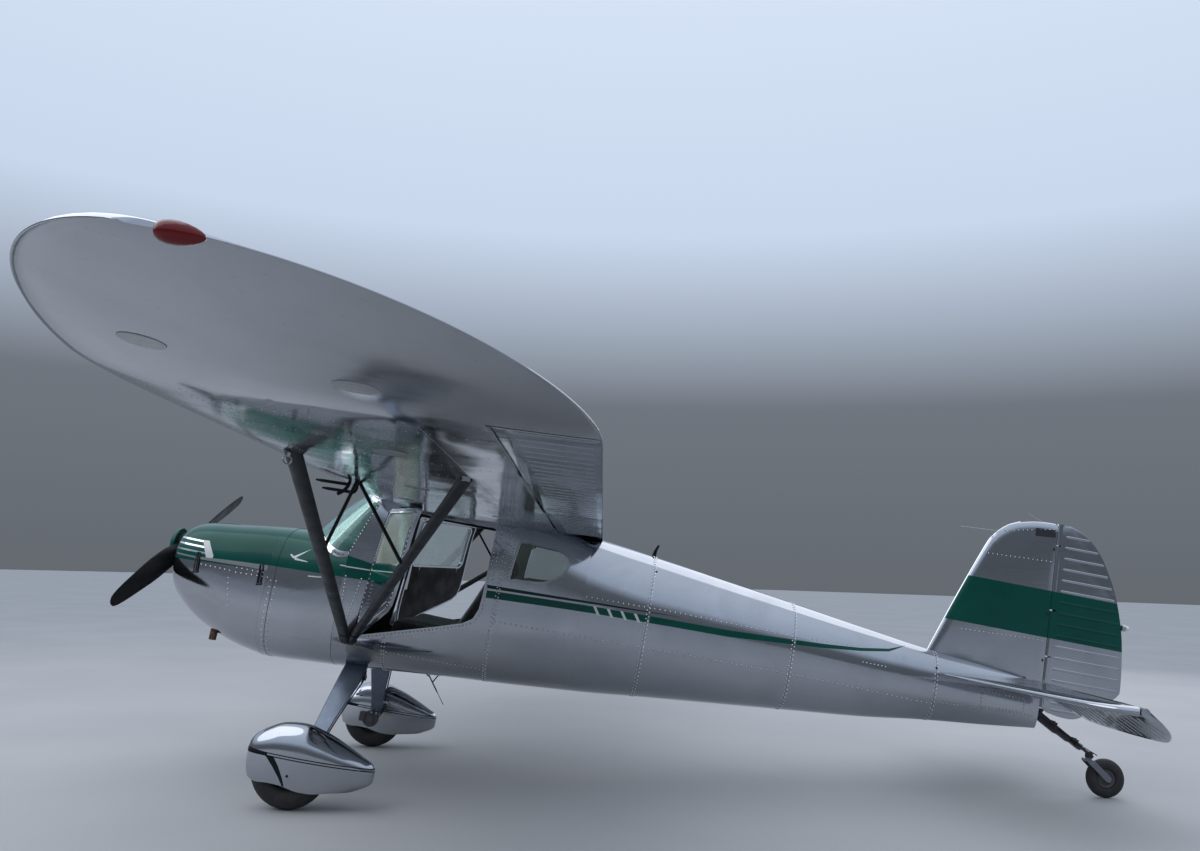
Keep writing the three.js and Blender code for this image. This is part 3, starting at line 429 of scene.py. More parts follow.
def carve(base, *steps):
    """base after each (operation, part) of steps, as a mesh."""
    holder = placed("carved", as_mesh(base))
    tools = []
    for operation, part in steps:
        tools.append(placed("tool", as_mesh(part)))
        change = holder.modifiers.new("cut", "BOOLEAN")
        change.operation = operation
        change.object = tools[-1]
        change.solver = "MANIFOLD"
    made = baked(holder)
    for obj in [holder, *tools]:
        bpy.data.objects.remove(obj)
    return made


def mirrored(mesh):
    out = as_mesh(mesh).copy()
    out.transform(MIRROR)
    out.flip_normals()
    return out


def merged(*meshes):
    """Several meshes as one, without joining their surfaces."""
    bm = bmesh.new()
    for mesh in meshes:
        bm.from_mesh(as_mesh(mesh))
    out = bpy.data.meshes.new("merged")
    bm.to_mesh(out)
    bm.free()
    return out


def paint(mesh, index, planes, test):
    """Cuts the mesh along planes (a point and a normal each) and gives faces that pass test a material."""
    bm = bmesh.new()
    bm.from_mesh(mesh)
    for point, normal in planes:
        geometry = bm.verts[:] + bm.edges[:] + bm.faces[:]
        bmesh.ops.bisect_plane(bm, geom=geometry, plane_co=point, plane_no=normal, dist=1e-4)
    for face in bm.faces:
        if test(face.calc_center_median()):
            face.material_index = index
    bm.to_mesh(mesh)
    bm.free()


# Materials

class Nodes:
    """A small helper that fills the node tree of a material or a world."""

    def __init__(self, owner):
        owner.use_nodes = True
        self.owner = owner
        self.tree = owner.node_tree
        self.tree.nodes.clear()
        self.coord = self.node("TexCoord", "Object")

    def node(self, kind, output, inputs=(), **settings):
        """Adds a node, fills its inputs with values or links, and gives one of its outputs."""
        made = self.tree.nodes.new("ShaderNode" + kind)
        for key, value in settings.items():
            setattr(made, key, value)
        for key, value in dict(inputs).items():
            socket = made.inputs[key]
            if isinstance(value, bpy.types.NodeSocket):
                self.tree.links.new(value, socket)
            else:
                socket.default_value = (*value, 1) if socket.type == "RGBA" else value
        return made.outputs[output]

    def noise(self, scale, detail, rough=0.5, vector=None, distortion=0.0):
        return self.node("TexNoise", "Fac", {"Scale": scale, "Detail": detail, "Roughness": rough,
                                             "Distortion": distortion, "Vector": vector or self.coord})

    def math(self, operation, *values):
        return self.node("Math", 0, enumerate(values), operation=operation)

    def spread(self, value, low, high, start=0.3, end=0.7):
        """A value's range from start to end, stretched from low to high."""
        return self.node("MapRange", "Result", {"Value": value, "From Min": start, "From Max": end,
                                                "To Min": low, "To Max": high})

    def blend(self, factor, a, b):
        return self.node("Mix", 2, {"Factor": factor, 6: a, 7: b}, data_type="RGBA")

    def bump(self, height, strength, distance, before=None):
        inputs = {"Strength": strength, "Distance": distance, "Height": height}
        return self.node("Bump", "Normal", {**inputs, "Normal": before} if before else inputs)

    def shader(self, colour, rough, normal=None, **values):
        inputs = {"Base Color": colour, "Roughness": rough}
        inputs.update({key.replace("_", " "): value for key, value in values.items()})
        return self.node("BsdfPrincipled", "BSDF", {**inputs, "Normal": normal} if normal else inputs)

    def mix(self, factor, a, b):
        return self.node("MixShader", 0, {0: factor, 1: a, 2: b})

    def finish(self, surface, kind="Material"):
        out = self.tree.nodes.new("ShaderNodeOutput" + kind)
        self.tree.links.new(surface, out.inputs["Surface"])
        return self.owner


def material(name, slot):
    """The nodes of a new material. Its slot argument is not used."""
    nodes = Nodes(bpy.data.materials.new(name))
    return nodes


def metal(name, slot, tint, low, high, wave=0.3, dirt=0.12):
    """Bare sheet: soft streaks, smudges and the slight waviness of hand-worked panels."""
    n = material(name, slot)
    brushed = n.node("Mapping", "Vector", {"Scale": (2.5, 70, 70), "Vector": n.coord})
    streaks = n.noise(1.0, 4, 0.6, brushed)
    smudge = n.noise(2.3, 6, 0.6, distortion=0.8)
    specks = n.noise(42.0, 5, 0.75)
    colour = n.blend(n.spread(smudge, 0.0, 1.0, 0.4, 0.75), tint, tuple(c * (1 - dirt) for c in tint))
    colour = n.blend(n.spread(specks, 0.0, 0.5, 0.6, 0.72), colour, tuple(c * 0.6 for c in tint))
    rough = n.spread(n.math("MULTIPLY_ADD", streaks, 0.5, smudge), low, high, 0.55, 1.0)
    normal = n.bump(n.noise(1.7, 1.0, 0.3), wave, 0.035)
    normal = n.bump(n.noise(7.0, 1.0, 0.3), wave * 0.35, 0.006, normal)
    normal = n.bump(streaks, 0.03, 0.0005, normal)
    return n.finish(n.shader(colour, rough, normal, Metallic=1.0))


def gloss(name, slot, colour, shade, rough, coat, shine=0.5):
    """Gloss paint, a little faded and uneven."""
    n = material(name, slot)
    tone = n.blend(n.spread(n.noise(2.2, 4, 0.6), 0.0, 1.0), colour, shade)
    normal = n.bump(n.noise(420, 2, 0.5), 0.05, 0.0006, n.bump(n.noise(2.6, 1.5, 0.4), 0.1, 0.02))
    return n.finish(n.shader(tone, n.spread(n.noise(7, 4), rough * 0.7, rough * 1.5), normal,
                             Coat_Weight=coat, Coat_Roughness=0.06, Specular_IOR_Level=shine))


def satin(name, slot, colour, worn, rough, metallic=0.0, grain=900, edge=0.62, shine=0.5):
    """Satin paint or moulding with fine grain and small worn flecks."""
    n = material(name, slot)
    tone = n.blend(n.spread(n.noise(38, 6, 0.75), 0.0, 0.8, edge, edge + 0.1), colour, worn)
    normal = n.bump(n.noise(grain, 2), 0.12, 0.0006)
    return n.finish(n.shader(tone, n.spread(n.noise(11, 4), rough * 0.8, rough * 1.25), normal,
                             Metallic=metallic, Specular_IOR_Level=shine))


def glass(name, slot, tint, dust=0.0):
    """Clear sheet that gleams at grazing angles, under a pale film that is partly dust and partly painted
    reflection.
    """
    n = material(name, slot)
    haze = n.noise(5, 4, 0.6)
    gleam = n.shader((0.9, 0.95, 0.95), n.spread(haze, 0.02, 0.12), Metallic=1.0)
    fresnel = n.node("Fresnel", 0, {"IOR": 1.5})
    amount = n.math("MULTIPLY_ADD", fresnel, 0.65, n.spread(haze, 0.0, 0.035))
    pane = n.mix(amount, n.node("BsdfTransparent", 0, {"Color": tint}), gleam)
    if not dust:
        return n.finish(pane)
    # the pale yellowish film: partly dust, partly a painted reflection of bright sky
    tone = n.blend(n.spread(n.noise(3, 5, 0.6), 0.0, 1.0), (0.62, 0.68, 0.60), (0.74, 0.74, 0.60))
    cover = n.spread(n.noise(4, 4, 0.6), dust * 0.6, dust * 1.4)
    return n.finish(n.mix(cover, pane, n.shader(tone, 0.8)))


def rubber(name, slot):
    n = material(name, slot)
    dust = n.noise(14, 5, 0.7)
    tone = n.blend(n.spread(dust, 0.0, 0.7, 0.45, 0.8), (0.012, 0.012, 0.013), (0.07, 0.065, 0.06))
    return n.finish(n.shader(tone, n.spread(dust, 0.5, 0.85), n.bump(n.noise(300, 3), 0.25, 0.001)))


def cloth(name, slot, colour, light):
    """Woven upholstery: a fine two-way weave with uneven tone."""
    n = material(name, slot)
    waves = {"Scale": 260, "Vector": n.coord}
    weave = n.math("ADD", *[n.node("TexWave", "Fac", waves, bands_direction=way) for way in "XY"])
    tone = n.blend(n.spread(n.noise(6, 4), 0.0, 1.0), colour, light)
    tone = n.blend(n.spread(weave, 0.0, 0.25, 0.4, 1.6), tone, light)
    return n.finish(n.shader(tone, 0.9, n.bump(weave, 0.35, 0.0008), Sheen_Weight=0.3, Sheen_Roughness=0.5))


ALU = metal("polished_sheet", "aluminium", (0.43, 0.45, 0.485), 0.06, 0.16)
ALU_DULL = metal("dull_sheet", "aluminium", (0.42, 0.43, 0.44), 0.22, 0.42, 0.15, 0.3)
CHROME = metal("bright_trim", "aluminium", (0.90, 0.92, 0.94), 0.05, 0.14, 0.06, 0.12)
GREEN = gloss("green_gloss", "green_paint", (0.002, 0.056, 0.042), (0.003, 0.076, 0.056), 0.16, 0.12, 0.16)
GREEN_DARK = gloss("dark_stripe", "green_paint", (0.0015, 0.016, 0.012), (0.003, 0.026, 0.020), 0.16, 0.12,
                   0.2)
RED = gloss("red_lens", "glass", (0.16, 0.001, 0.003), (0.10, 0.001, 0.002), 0.12, 0.12, 0.3)
LAMP_GREEN = gloss("green_lens", "glass", (0.0, 0.25, 0.09), (0.0, 0.18, 0.06), 0.12, 0.12, 0.3)
WHITE = gloss("white_lens", "glass", (0.8, 0.8, 0.76), (0.7, 0.7, 0.66), 0.12, 1.0)
LINE = gloss("pale_line", "aluminium", (0.66, 0.68, 0.66), (0.56, 0.58, 0.57), 0.25, 0.3)
BLACK = satin("satin_black", "black", (0.006, 0.008, 0.011), (0.022, 0.023, 0.026), 0.38, edge=0.7,
              shine=0.16)
BLADE = satin("blade_black", "black", (0.007, 0.007, 0.008), (0.05, 0.05, 0.055), 0.42, edge=0.68,
              shine=0.16)
# dark parts, and painted shade behind the cowl's openings and inside the spat holes
DARK = satin("dark_recess", "black", (0.006, 0.006, 0.007), (0.02, 0.02, 0.02), 0.7)
PANEL = satin("panel_moulding", "plastic", (0.022, 0.022, 0.024), (0.06, 0.06, 0.06), 0.5, grain=500)
TRIM = satin("cabin_lining", "plastic", (0.030, 0.029, 0.030), (0.07, 0.065, 0.06), 0.75, grain=300)
DIAL = satin("dial_face", "plastic", (0.012, 0.012, 0.012), (0.03, 0.03, 0.03), 0.3)
STEEL = satin("spring_steel", "steel", (0.20, 0.21, 0.24), (0.34, 0.35, 0.38), 0.34, 0.85, 600, 0.55)
DARK_STEEL = satin("dark_steel", "steel", (0.05, 0.05, 0.055), (0.22, 0.16, 0.12), 0.5, 0.7, 500, 0.6)
IRON = satin("engine_metal", "engine", (0.10, 0.10, 0.105), (0.2, 0.17, 0.14), 0.55, 0.6, 300)
RUSTED = satin("heated_steel", "engine", (0.10, 0.045, 0.028), (0.20, 0.13, 0.10), 0.6, 0.4, 300, 0.5)
LEG_PAINT = satin("leg_finish", "aluminium", (0.15, 0.18, 0.23), (0.30, 0.33, 0.38), 0.32, 0.75, 700, 0.6)
PRIMER = satin("primer_wall", "aluminium", (0.50, 0.50, 0.36), (0.62, 0.61, 0.48), 0.5, grain=300)
RIVET = satin("rivet_heads", "aluminium", (0.86, 0.88, 0.90), (0.70, 0.72, 0.74), 0.38, 0.35, 500, 0.6)
GLASS = glass("window_glass", "glass", (0.93, 0.96, 0.96))
DUST_AND_PAINTED_GLARE = glass("dusty_glass", "glass", (0.93, 0.96, 0.94), 0.24)
SCREEN = glass("screen_glass", "glass", (0.80, 0.94, 0.90))
TYRE = rubber("tyre_rubber", "tyre")
CLOTH = cloth("seat_cloth", "cloth", (0.020, 0.019, 0.022), (0.055, 0.052, 0.055))


# Pieces

def piece(name, mesh, materials, body="airframe", stands_for=(), turn=None, sharp=32):
    """Puts a mesh of the level layout into the scene and hangs it on a body."""
    mesh = as_mesh(mesh)
    mesh.transform(ROW @ turn if turn else ROW)
    if isinstance(materials, bpy.types.Material):
        materials = [materials]
    painted = [face.material_index for face in mesh.polygons]
    mesh.materials.clear()
    for each in materials:
        mesh.materials.append(each)
    mesh.polygons.foreach_set("material_index", [min(i, len(materials) - 1) for i in painted])
    mesh.shade_smooth()
    mesh.set_sharp_from_angle(angle=radians(sharp))
    obj = placed(name, mesh)
    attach(obj, body)
    if stands_for:
        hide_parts(*stands_for)


def pair(name, mesh, materials, body="airframe", stands_for=None, turn=None, sharp=32):
    """A mesh of the right side and its mirror image as two pieces. turn gives each side's own turn."""
    mesh = as_mesh(mesh)
    for where, side in SIDES:
        piece(name + where, mesh.copy() if side > 0 else mirrored(mesh), materials,
              body if body == "airframe" else body + where, [stands_for + where] if stands_for else (),
              turn(side) if turn else None, sharp)


# Body sections

OUTSIDE = {"cowl": COWL, "deck": DECK, "cabin": CABIN, "tail": TAIL}
COWL_END = -606
EXHAUST_X, EXHAUST_Y = -955, 190
WALL = 20


def body_ring(row, grow, count=96):
    """The outline of a station row, grown by grow."""
    x, top, bottom, half, mid, upper, lower = row
    ring = []
    for i in range(count):
        a = 2 * pi * (i + 0.5) / count
        c, s = cos(a), sin(a)
        n = upper if s > 0 else lower
        height = (top - mid if s > 0 else mid - bottom) + grow
        ring.append((x, (half + grow) * (1 if c > 0 else -1) * abs(c) ** (2 / n),
                     mid + height * (1 if s > 0 else -1) * abs(s) ** (2 / n)))
    return ring


def body_loft(table, grow=0.0, stretch=0.0, step=60):
    """A body section as a closed solid, grown all round and stretched at both ends."""
    rings = [body_ring(row, grow) for row in fine(table, step)]
    rings[0] = [(x - stretch, y, z) for x, y, z in rings[0]]
    rings[-1] = [(x + stretch, y, z) for x, y, z in rings[-1]]
    return loft(rings)


def hollow(table, high, low, step, *steps):
    """The skin of a body section between two heights over its surface, after steps."""
    return carve(body_loft(table, high, 0, step), *cut(body_loft(table, low, 10, step)), *steps)


def skin_between(table, low, high, x0, x1, step=45):
    return hollow(table, high, low, step, *within(block(x0, x1, -FAR, FAR, -FAR, FAR)))


def side_prism(outline, y0=200, y1=FAR, side=1):
    return prism_y(outline, side * y0, side * y1)


def as_tree(part):
    return BVHTree.FromPolygons([Vector(p) for p in part[0]], part[1])


HULL_TREE = {key: as_tree(body_loft(table)) for key, table in OUTSIDE.items()}


def skin_hit(tree, start, way):
    """Where a ray meets a skin, with the skin's outward normal, or None."""
    place, normal = tree.ray_cast(start, way)[:2]
    if place is None:
        return None
    return place, normal if normal.dot(way) < 0 else -normal


def hull_at(x):
    return "cowl" if x < COWL_END else "deck" if x < CABIN_X else "cabin" if x < TAIL_X + GAP else "tail"


def on_hull(x, z, side=1):
    """The place on the fuselage's side at x and z, and its outward normal."""
    return skin_hit(HULL_TREE[hull_at(x)], Vector((x, side * 900, z)), Vector((0, -side, 0)))


def round_hull(x, angle):
    """The place on the fuselage's skin at x, at an angle about its own middle: 0 right, 90 top."""
    key = hull_at(x)
    rows = np.array(OUTSIDE[key], float)
    mid = pchip(rows[:, 0], rows[:, 4:5], [x])[0][0]
    way = Vector((0, cos(radians(angle)), sin(radians(angle))))
    return skin_hit(HULL_TREE[key], Vector((x, 0, mid)) + way * 1500, -way)


# Camera, light and floor

PHOTO_WIDTH, PHOTO_FOCAL = 1200, 953.2
CAMERA_PLACE = (-0.2347, -6.629, 1.386)
CAMERA_YAW, CAMERA_PITCH, CAMERA_ROLL = -0.72, 8.65, 1.71
# height on the world's sphere and colour
SKY = [(0.0, (0.13, 0.145, 0.165)), (0.17, (0.16, 0.18, 0.21)), (0.34, (0.58, 0.68, 0.84)),
       (1.0, (0.86, 0.95, 1.1))]


def place_camera():
    yaw, pitch, roll = radians(CAMERA_YAW), radians(CAMERA_PITCH), radians(CAMERA_ROLL)
    ahead = Vector((sin(yaw) * cos(pitch), cos(yaw) * cos(pitch), sin(pitch)))
    right = Vector((cos(yaw), -sin(yaw), 0))
    above = right.cross(ahead)
    across = right * cos(roll) + above * sin(roll)
    up = -right * sin(roll) + above * cos(roll)
    data = bpy.data.cameras.new("camera")
    data.sensor_width = 36
    data.lens = PHOTO_FOCAL / PHOTO_WIDTH * 36
    data.clip_end = 500
    camera = placed("camera", data)
    turn = Matrix((across, up, -ahead)).transposed().to_4x4()
    camera.matrix_world = Matrix.Translation(CAMERA_PLACE) @ turn
    bpy.context.scene.camera = camera


def make_world():
    world = bpy.data.worlds.new("studio")
    bpy.context.scene.world = world
    n = Nodes(world)
    height = n.node("SeparateXYZ", "Z", {0: n.node("TexCoord", "Generated")})
    sky = n.node("ValToRGB", "Color", {"Fac": height})
    stops = sky.node.color_ramp.elements
    for at in (0.5, 0.6):
        stops.new(at)
    for stop, (at, colour) in zip(stops, SKY):
        stop.position = at
        stop.color = (*colour, 1)
    n.finish(n.node("Background", "Background", {"Color": sky, "Strength": 1.0}), "World")


def soft_light(name, place, size, power):
    data = bpy.data.lights.new(name, "AREA")
    data.shape = "DISK"
    data.size = size
    data.energy = power
    lamp = placed(name, data)
    lamp.location = place
    lamp.rotation_euler = (Vector((0, 0, 0.8)) - Vector(place)).to_track_quat("-Z", "Y").to_euler()


def make_floor():
    bm = bmesh.new()
    bmesh.ops.create_circle(bm, cap_ends=True, segments=96, radius=90)
    mesh = bpy.data.meshes.new("floor")
    bm.to_mesh(mesh)
    bm.free()
    n = Nodes(bpy.data.materials.new("floor_surface"))
    tone = n.blend(n.spread(n.noise(0.6, 3), 0.0, 1.0), (0.38, 0.38, 0.385), (0.42, 0.42, 0.42))
    mesh.materials.append(n.finish(n.shader(tone, 0.85)))
    floor = placed("floor", mesh)
    floor.location = (0, 0, -0.001)


def make_studio():
    place_camera()
    make_world()
    make_floor()
    soft_light("key", (-7, -3, 9), 13, 480)
    soft_light("fill", (6, 7, 7), 12, 280)
    bpy.context.scene.view_settings.view_transform = "Standard"


# Cowl

COWL_SEAM = [(-1500, -88), (-1154, -70), (-536, -35), (-300, -24)]
COWL_MOUTH = [(-95, -178), (95, -178), (95, -128), (-95, -128)]


def make_cowl():
    inner = moved(body_loft(COWL, -6, 8, 30), Matrix.Translation((8, 0, 0)))
    cuts = [inner, rod((-1500, 0, 0), (-1200, 0, 0), 60, 48)]
    for side in (-1, 1):
        cuts.append(prism_x([(side * (150 + a), b - 22) for a, b in circle(40, 62, 58)], -1500, -1180))
        cuts.append(rod((EXHAUST_X, side * EXHAUST_Y, -700), (EXHAUST_X, side * EXHAUST_Y, -300), 32, 32))
    cuts.append(prism_x(round_corners(COWL_MOUTH, 20), -1500, -1200))
    cuts.append(block(-760, -590, -190, 190, -700, -540))
    whole = carve(body_loft(COWL, 0, 0, 30), *cut(*cuts),
                  *within(block(-2000, COWL_END - GAP, -FAR, FAR, -FAR, FAR)))
    above = prism_y([*COWL_SEAM, (-300, FAR), (-1500, FAR)], -FAR, FAR)
    below = prism_y([*[(x, z - 2) for x, z in COWL_SEAM], (-300, -FAR), (-1500, -FAR)], -FAR, FAR)
    piece("cowl_top", carve(whole.copy(), *within(above)), GREEN, stands_for=["cowl_upper"])
    piece("cowl_bottom", carve(whole, *within(below)), ALU, stands_for=["cowl_lower"])
    # a dark sheet behind the openings, painted shade
    screen = body_ring(fine(COWL, 30)[4], -14)
    piece("cowl_painted_shade", loft([screen, [(x + 2, y, z) for x, y, z in screen]]), DARK)


# Fuselage

PRIMER_X = 805


def line_plane(a, b):
    """The plane across the aircraft through two points in x and z, with its normal upwards."""
    return Vector((a[0], 0, a[1])), Vector((a[1] - b[1], 0, b[0] - a[0])).normalized()


def side_of(plane, c):
    return (c - plane[0]).dot(plane[1])


GREEN_EDGE = line_plane((-620, -9), (-100, 10))


def lies_inside(c):
    """Whether a face's centre is on the inner side of the cabin's skin."""
    outer = on_hull(c.x, c.z)
    return abs(c.y) < 512 and outer is not None and outer[0].y - c.y > 12


def make_fuselage():
    above_sill = block(FIREWALL_X, CABIN_X, -FAR, FAR, SILL_Z + GAP, FAR)
    deck = hollow(DECK, 0, -WALL, 40, *within(above_sill))
    paint(deck, 1, [GREEN_EDGE], lambda c: side_of(GREEN_EDGE, c) > 0)
    piece("boot_cowl_skin", deck, [ALU, GREEN], stands_for=["boot_cowl"])

    front = hollow(DECK, 0, -WALL, 40, *within(block(FIREWALL_X, CABIN_X, -FAR, FAR, -FAR, SILL_Z)))
    back = hollow(CABIN, 0, -WALL, 60, *within(block(CABIN_X, TAIL_X, -FAR, FAR, -FAR, SILL_Z)))
    piece("belly_skin", merged(front, back), ALU, stands_for=["belly_pan"])

    window = smooth_line(REAR_WINDOW, 5, closed=True)
    holes = [side_prism(round_corners(DOOR_OUTLINE, 26)), side_prism(window), CENTRE_CUT,
             side_prism(SCREEN_CORNER, 100)]
    skin = carve(hollow(CABIN, 0, -WALL, 60),
                 *within(block(CABIN_X + GAP, TAIL_X, 250, FAR, SILL_Z + GAP, 620)), *cut(*holes))
    paint(skin, 1, [], lies_inside)
    wall = (Vector((PRIMER_X, 0, 0)), Vector((1, 0, 0)))
    paint(skin, 2, [wall], lambda c: c.x > PRIMER_X and lies_inside(c))
    pair("cabin_skin_", skin, [ALU, TRIM, PRIMER], stands_for="cabin_side_")

    tail = carve(body_loft(TAIL, 0, 0, 45), *cut(CENTRE_CUT, pin(STAB_X, STAB_Z, -200, 200, 30),
                                                 rod((4563, 0, -80), (4554, 0, 1260), 36)),
                 *within(block(1400, 4529, -FAR, FAR, -FAR, FAR)))
    piece("tail_skin", tail, ALU, stands_for=["tailcone"])


# Wing

def section(t):
    """Heights of the upper and lower skin over the chord line, for a chord of 1."""
    thick = 0.6 * (0.2969 * sqrt(t) - 0.126 * t - 0.3516 * t ** 2 + 0.2843 * t ** 3 - 0.1036 * t ** 4)
    camber = (0.02 / 0.16) * (0.8 * t - t * t) if t < 0.4 else (0.02 / 0.36) * (0.2 + 0.8 * t - t * t)
    return camber + thick, camber - thick


def planform(y):
    """x of the leading and the trailing edge."""
    def bend(start):
        u = max(0.0, (y - start) / (HALF_SPAN + 4 - start))
        return 1 - sqrt(max(0.0, 1 - u * u))
    return TIP_X * bend(LEADING_BEND_Y), CHORD - (CHORD - TIP_X) * bend(TRAILING_BEND_Y)


def flat_chord_z(x, y):
    return LE_Z - tan(INCIDENCE) * x + tan(DIHEDRAL) * max(0.0, abs(y) - ROOT_Y)


def chord_z(x, y):
    """Height of the chord line with the tip's rise, and how far out in the tip y is."""
    tip = max(0.0, (abs(y) - TIP_START) / (HALF_SPAN - TIP_START))
    return flat_chord_z(x, y) + TIP_RISE * tip ** TIP_POWER, tip


def wing_skin(t, y):
    """x at a share t of the chord, and the heights of the upper and lower skin there."""
    x0, x1 = planform(abs(y))
    chord = x1 - x0
    x = x0 + t * chord
    hi, lo = section(t)
    z, tip = chord_z(x, y)
    return x, z + hi * chord * (1 - 0.15 * tip), z + lo * chord * (1 - 0.45 * tip)


def wing_skin_z(x, y, upper):
    x0, x1 = planform(abs(y))
    return wing_skin((x - x0) / (x1 - x0), y)[1 if upper else 2]


WING_T = [0.5 - 0.5 * cos(pi * k / 34) for k in range(35)]


def wing_ring(y):
    upper, lower = [], []
    for t in WING_T:
        x, top, bottom = wing_skin(t, y)
        edge = 1.2 if t in (WING_T[0], WING_T[-1]) else 0
        upper.append((x, y, top + edge))
        lower.append((x, y, bottom - edge))
    return upper + lower[::-1]


HIGH, LOW = section(SURFACE_X / CHORD)
SURFACE_R = 0.5 * CHORD * (HIGH - LOW) + 1.5
WING_YS = [ROOT_Y, *range(640, 3700, 340), *range(3750, 4600, 60), 4640, 4700, 4760, 4820, 4870, 4920, 4960,
           4995, 5022, 5044, 5060, 5071, 5077, 5080]
WING = loft([wing_ring(y) for y in WING_YS])


def centre_cut():
    """What lies in the wing between its roots and above its lower skin, up to FAR."""
    under = [(x, z - GAP) for x, _, z in wing_ring(ROOT_Y)[len(WING_T):]]
    (aft, aft_z), (nose, nose_z) = under[0], under[-1]
    outline = [(aft + GAP, FAR), (aft + GAP, aft_z), *under[1:], (nose - GAP, nose_z), (nose - GAP, FAR)]
    return prism_y(outline, -FAR, FAR)


CENTRE_CUT = centre_cut()


def wing_hinge(y):
    return (SURFACE_X, y, flat_chord_z(SURFACE_X, y) + 0.5 * (HIGH + LOW) * CHORD)


def hinge_rod(y0, y1, r, sides=24):
    return rod(wing_hinge(y0), wing_hinge(y1), r, sides)


def surface_zone(y0, y1, r):
    return hinge_rod(y0, y1, r, 40), block(SURFACE_X, CHORD + 60, y0, y1, 300, 900)


def surface_beads(y0, y1):
    out = []
    count = round((y1 - y0 - 60) / 97)
    for k in range(count + 1):
        y = y0 + 30 + (y1 - y0 - 60) * k / count
        for upper in (True, False):
            xs = ridge(1240, min(1452, planform(y)[1] - 22), 5, 12)
            path = [(x, y, wing_skin_z(x, y, upper)) for x in xs]
            out.append(bead(path, 14, 2.2, (0, 0, 1 if upper else -1)))
    return joined(out)


SURFACES = (("flap", FLAP_SPAN, FLAP_BRACKETS), ("aileron", AILERON_SPAN, AILERON_BRACKETS))


def make_wings():
    holes, plates = [], []
    for name, (y0, y1), brackets in SURFACES:
        holes += surface_zone(y0 - SURFACE_GAP, y1 + SURFACE_GAP, SURFACE_R + SURFACE_GAP)
        for y in brackets:
            x, _, z = wing_hinge(y)
            plates.append(hinge_rod(y - PLATE / 2, y + PLATE / 2, 12, 20))
            plates.append(block(x - SURFACE_R - 30, x, y - PLATE / 2, y + PLATE / 2, z - 12, z + 12))
    pair("wing_skin_", merged(carve(WING, *cut(*holes)), joined(plates)), ALU, stands_for="wing_")
    for name, (y0, y1), brackets in SURFACES:
        nose, aft = surface_zone(y0, y1, SURFACE_R)
        slots = [hinge_rod(y - PLATE / 2 - 1, y + PLATE / 2 + 1, SURFACE_R + 4) for y in brackets]
        surface = carve(WING, *within(carve(nose, *plus(aft))), *cut(*slots))
        pair(name + "_skin_", merged(surface, surface_beads(y0, y1)), ALU, name + "_", name + "_")
    half = ROOT_Y - GAP
    piece("centre_skin", prism_y([(x, z) for x, _, z in wing_ring(ROOT_Y)], -half, half), ALU,
          stands_for=["centre_section"])


# Windscreen

SCREEN_LEAN = Vector((-1, 0, 0.8)).normalized()
SCREEN_STEPS = 48


def deck_top(x, y):
    rows = fine(DECK, 40)
    k = max(0, min(len(rows) - 2, sum(1 for r in rows if r[0] <= x) - 1))
    t = (x - rows[k][0]) / (rows[k + 1][0] - rows[k][0])
    _, top, _, half, mid, upper, _ = [a + t * (b - a) for a, b in zip(rows[k], rows[k + 1])]
    return mid + (top - mid) * (1 - min(1.0, abs(y) / half) ** upper) ** (1 / upper)


def screen_lines():
    """Foot, brow and crown of the windscreen from the left to the right."""
    out = []
    for i in range(SCREEN_STEPS + 1):
        a = radians(-90 + 180 * i / SCREEN_STEPS)
        c = max(0.0, cos(a))
        foot_x, foot_y = -106 - 345 * c ** 0.8, 506 * sin(a)
        brow_y = 478 * sin(a)
        out.append((Vector((foot_x, foot_y, deck_top(foot_x, foot_y) + 4)),
                    Vector((34 - 164 * c ** 0.8, brow_y, 508 + 77 * c ** 0.7)),
                    Vector((36 - 30 * c ** 0.5, brow_y, 509 + 62 * c ** 0.5))))
    return out


def sheet_between(lines, thick, levels=8, bulge=10):
    """A curved sheet between two lines of points, as a closed solid."""
    rings = []
    for a, b in lines:
        shares = [k / levels for k in range(levels + 1)]
        outer = [a.lerp(b, t) + SCREEN_LEAN * bulge * sin(pi * t) for t in shares]
        inner = [Vector((p.x + thick, p.y * 0.99, p.z - thick * 0.5)) for p in reversed(outer)]
        rings.append(outer + inner)
    return loft(rings)


def screen_strip(lines, low, high):
    """A thin strip on the windscreen between two shares of its height."""
    rings = []
    for foot, brow, _ in lines:
        p = foot.lerp(brow, low) + SCREEN_LEAN * 2.4
        q = foot.lerp(brow, high) + SCREEN_LEAN * (2.4 + 10 * sin(pi * high))
        rings.append([p, q, q - SCREEN_LEAN * 1.6, p - SCREEN_LEAN * 1.6])
    return loft(rings)


def make_windscreen():
    lines = screen_lines()
    pane = sheet_between([(foot, brow) for foot, brow, _ in lines], 4)
    piece("windscreen_pane", carve(pane, *cut(CENTRE_CUT, body_loft(DECK, 0.6, 0, 40))), SCREEN,
          stands_for=["windscreen"])
    edges = [(brow + Vector((1.5, 0, -1)), crown + Vector((60, 0, 2))) for _, brow, crown in lines]
    piece("windscreen_hood", sheet_between(edges, 6, 6, 1), ALU)
    strips = [screen_strip(lines, 0.0, 0.09), screen_strip(lines, 0.955, 1.0)]
    piece("windscreen_strips", joined(strips), CHROME)
    places = [foot.lerp(brow, 0.045) for foot, brow, _ in lines[1:-1]]
    screws = [rod(p - SCREEN_LEAN, p + SCREEN_LEAN * 3.4, 4, 8) for p in places]
    piece("windscreen_screws", joined(screws), DARK)


# Doors

def door_turn(side):
    foot = Vector((HINGE_FOOT[0], side * HINGE_FOOT[1], HINGE_FOOT[2]))
    axis = Vector((HINGE_TOP[0] - HINGE_FOOT[0], 0, HINGE_TOP[2] - HINGE_FOOT[2]))
    return (Matrix.Translation(foot) @ Matrix.Rotation(radians(side * DOOR_OPEN), 4, axis.normalized())
            @ Matrix.Translation(-foot))


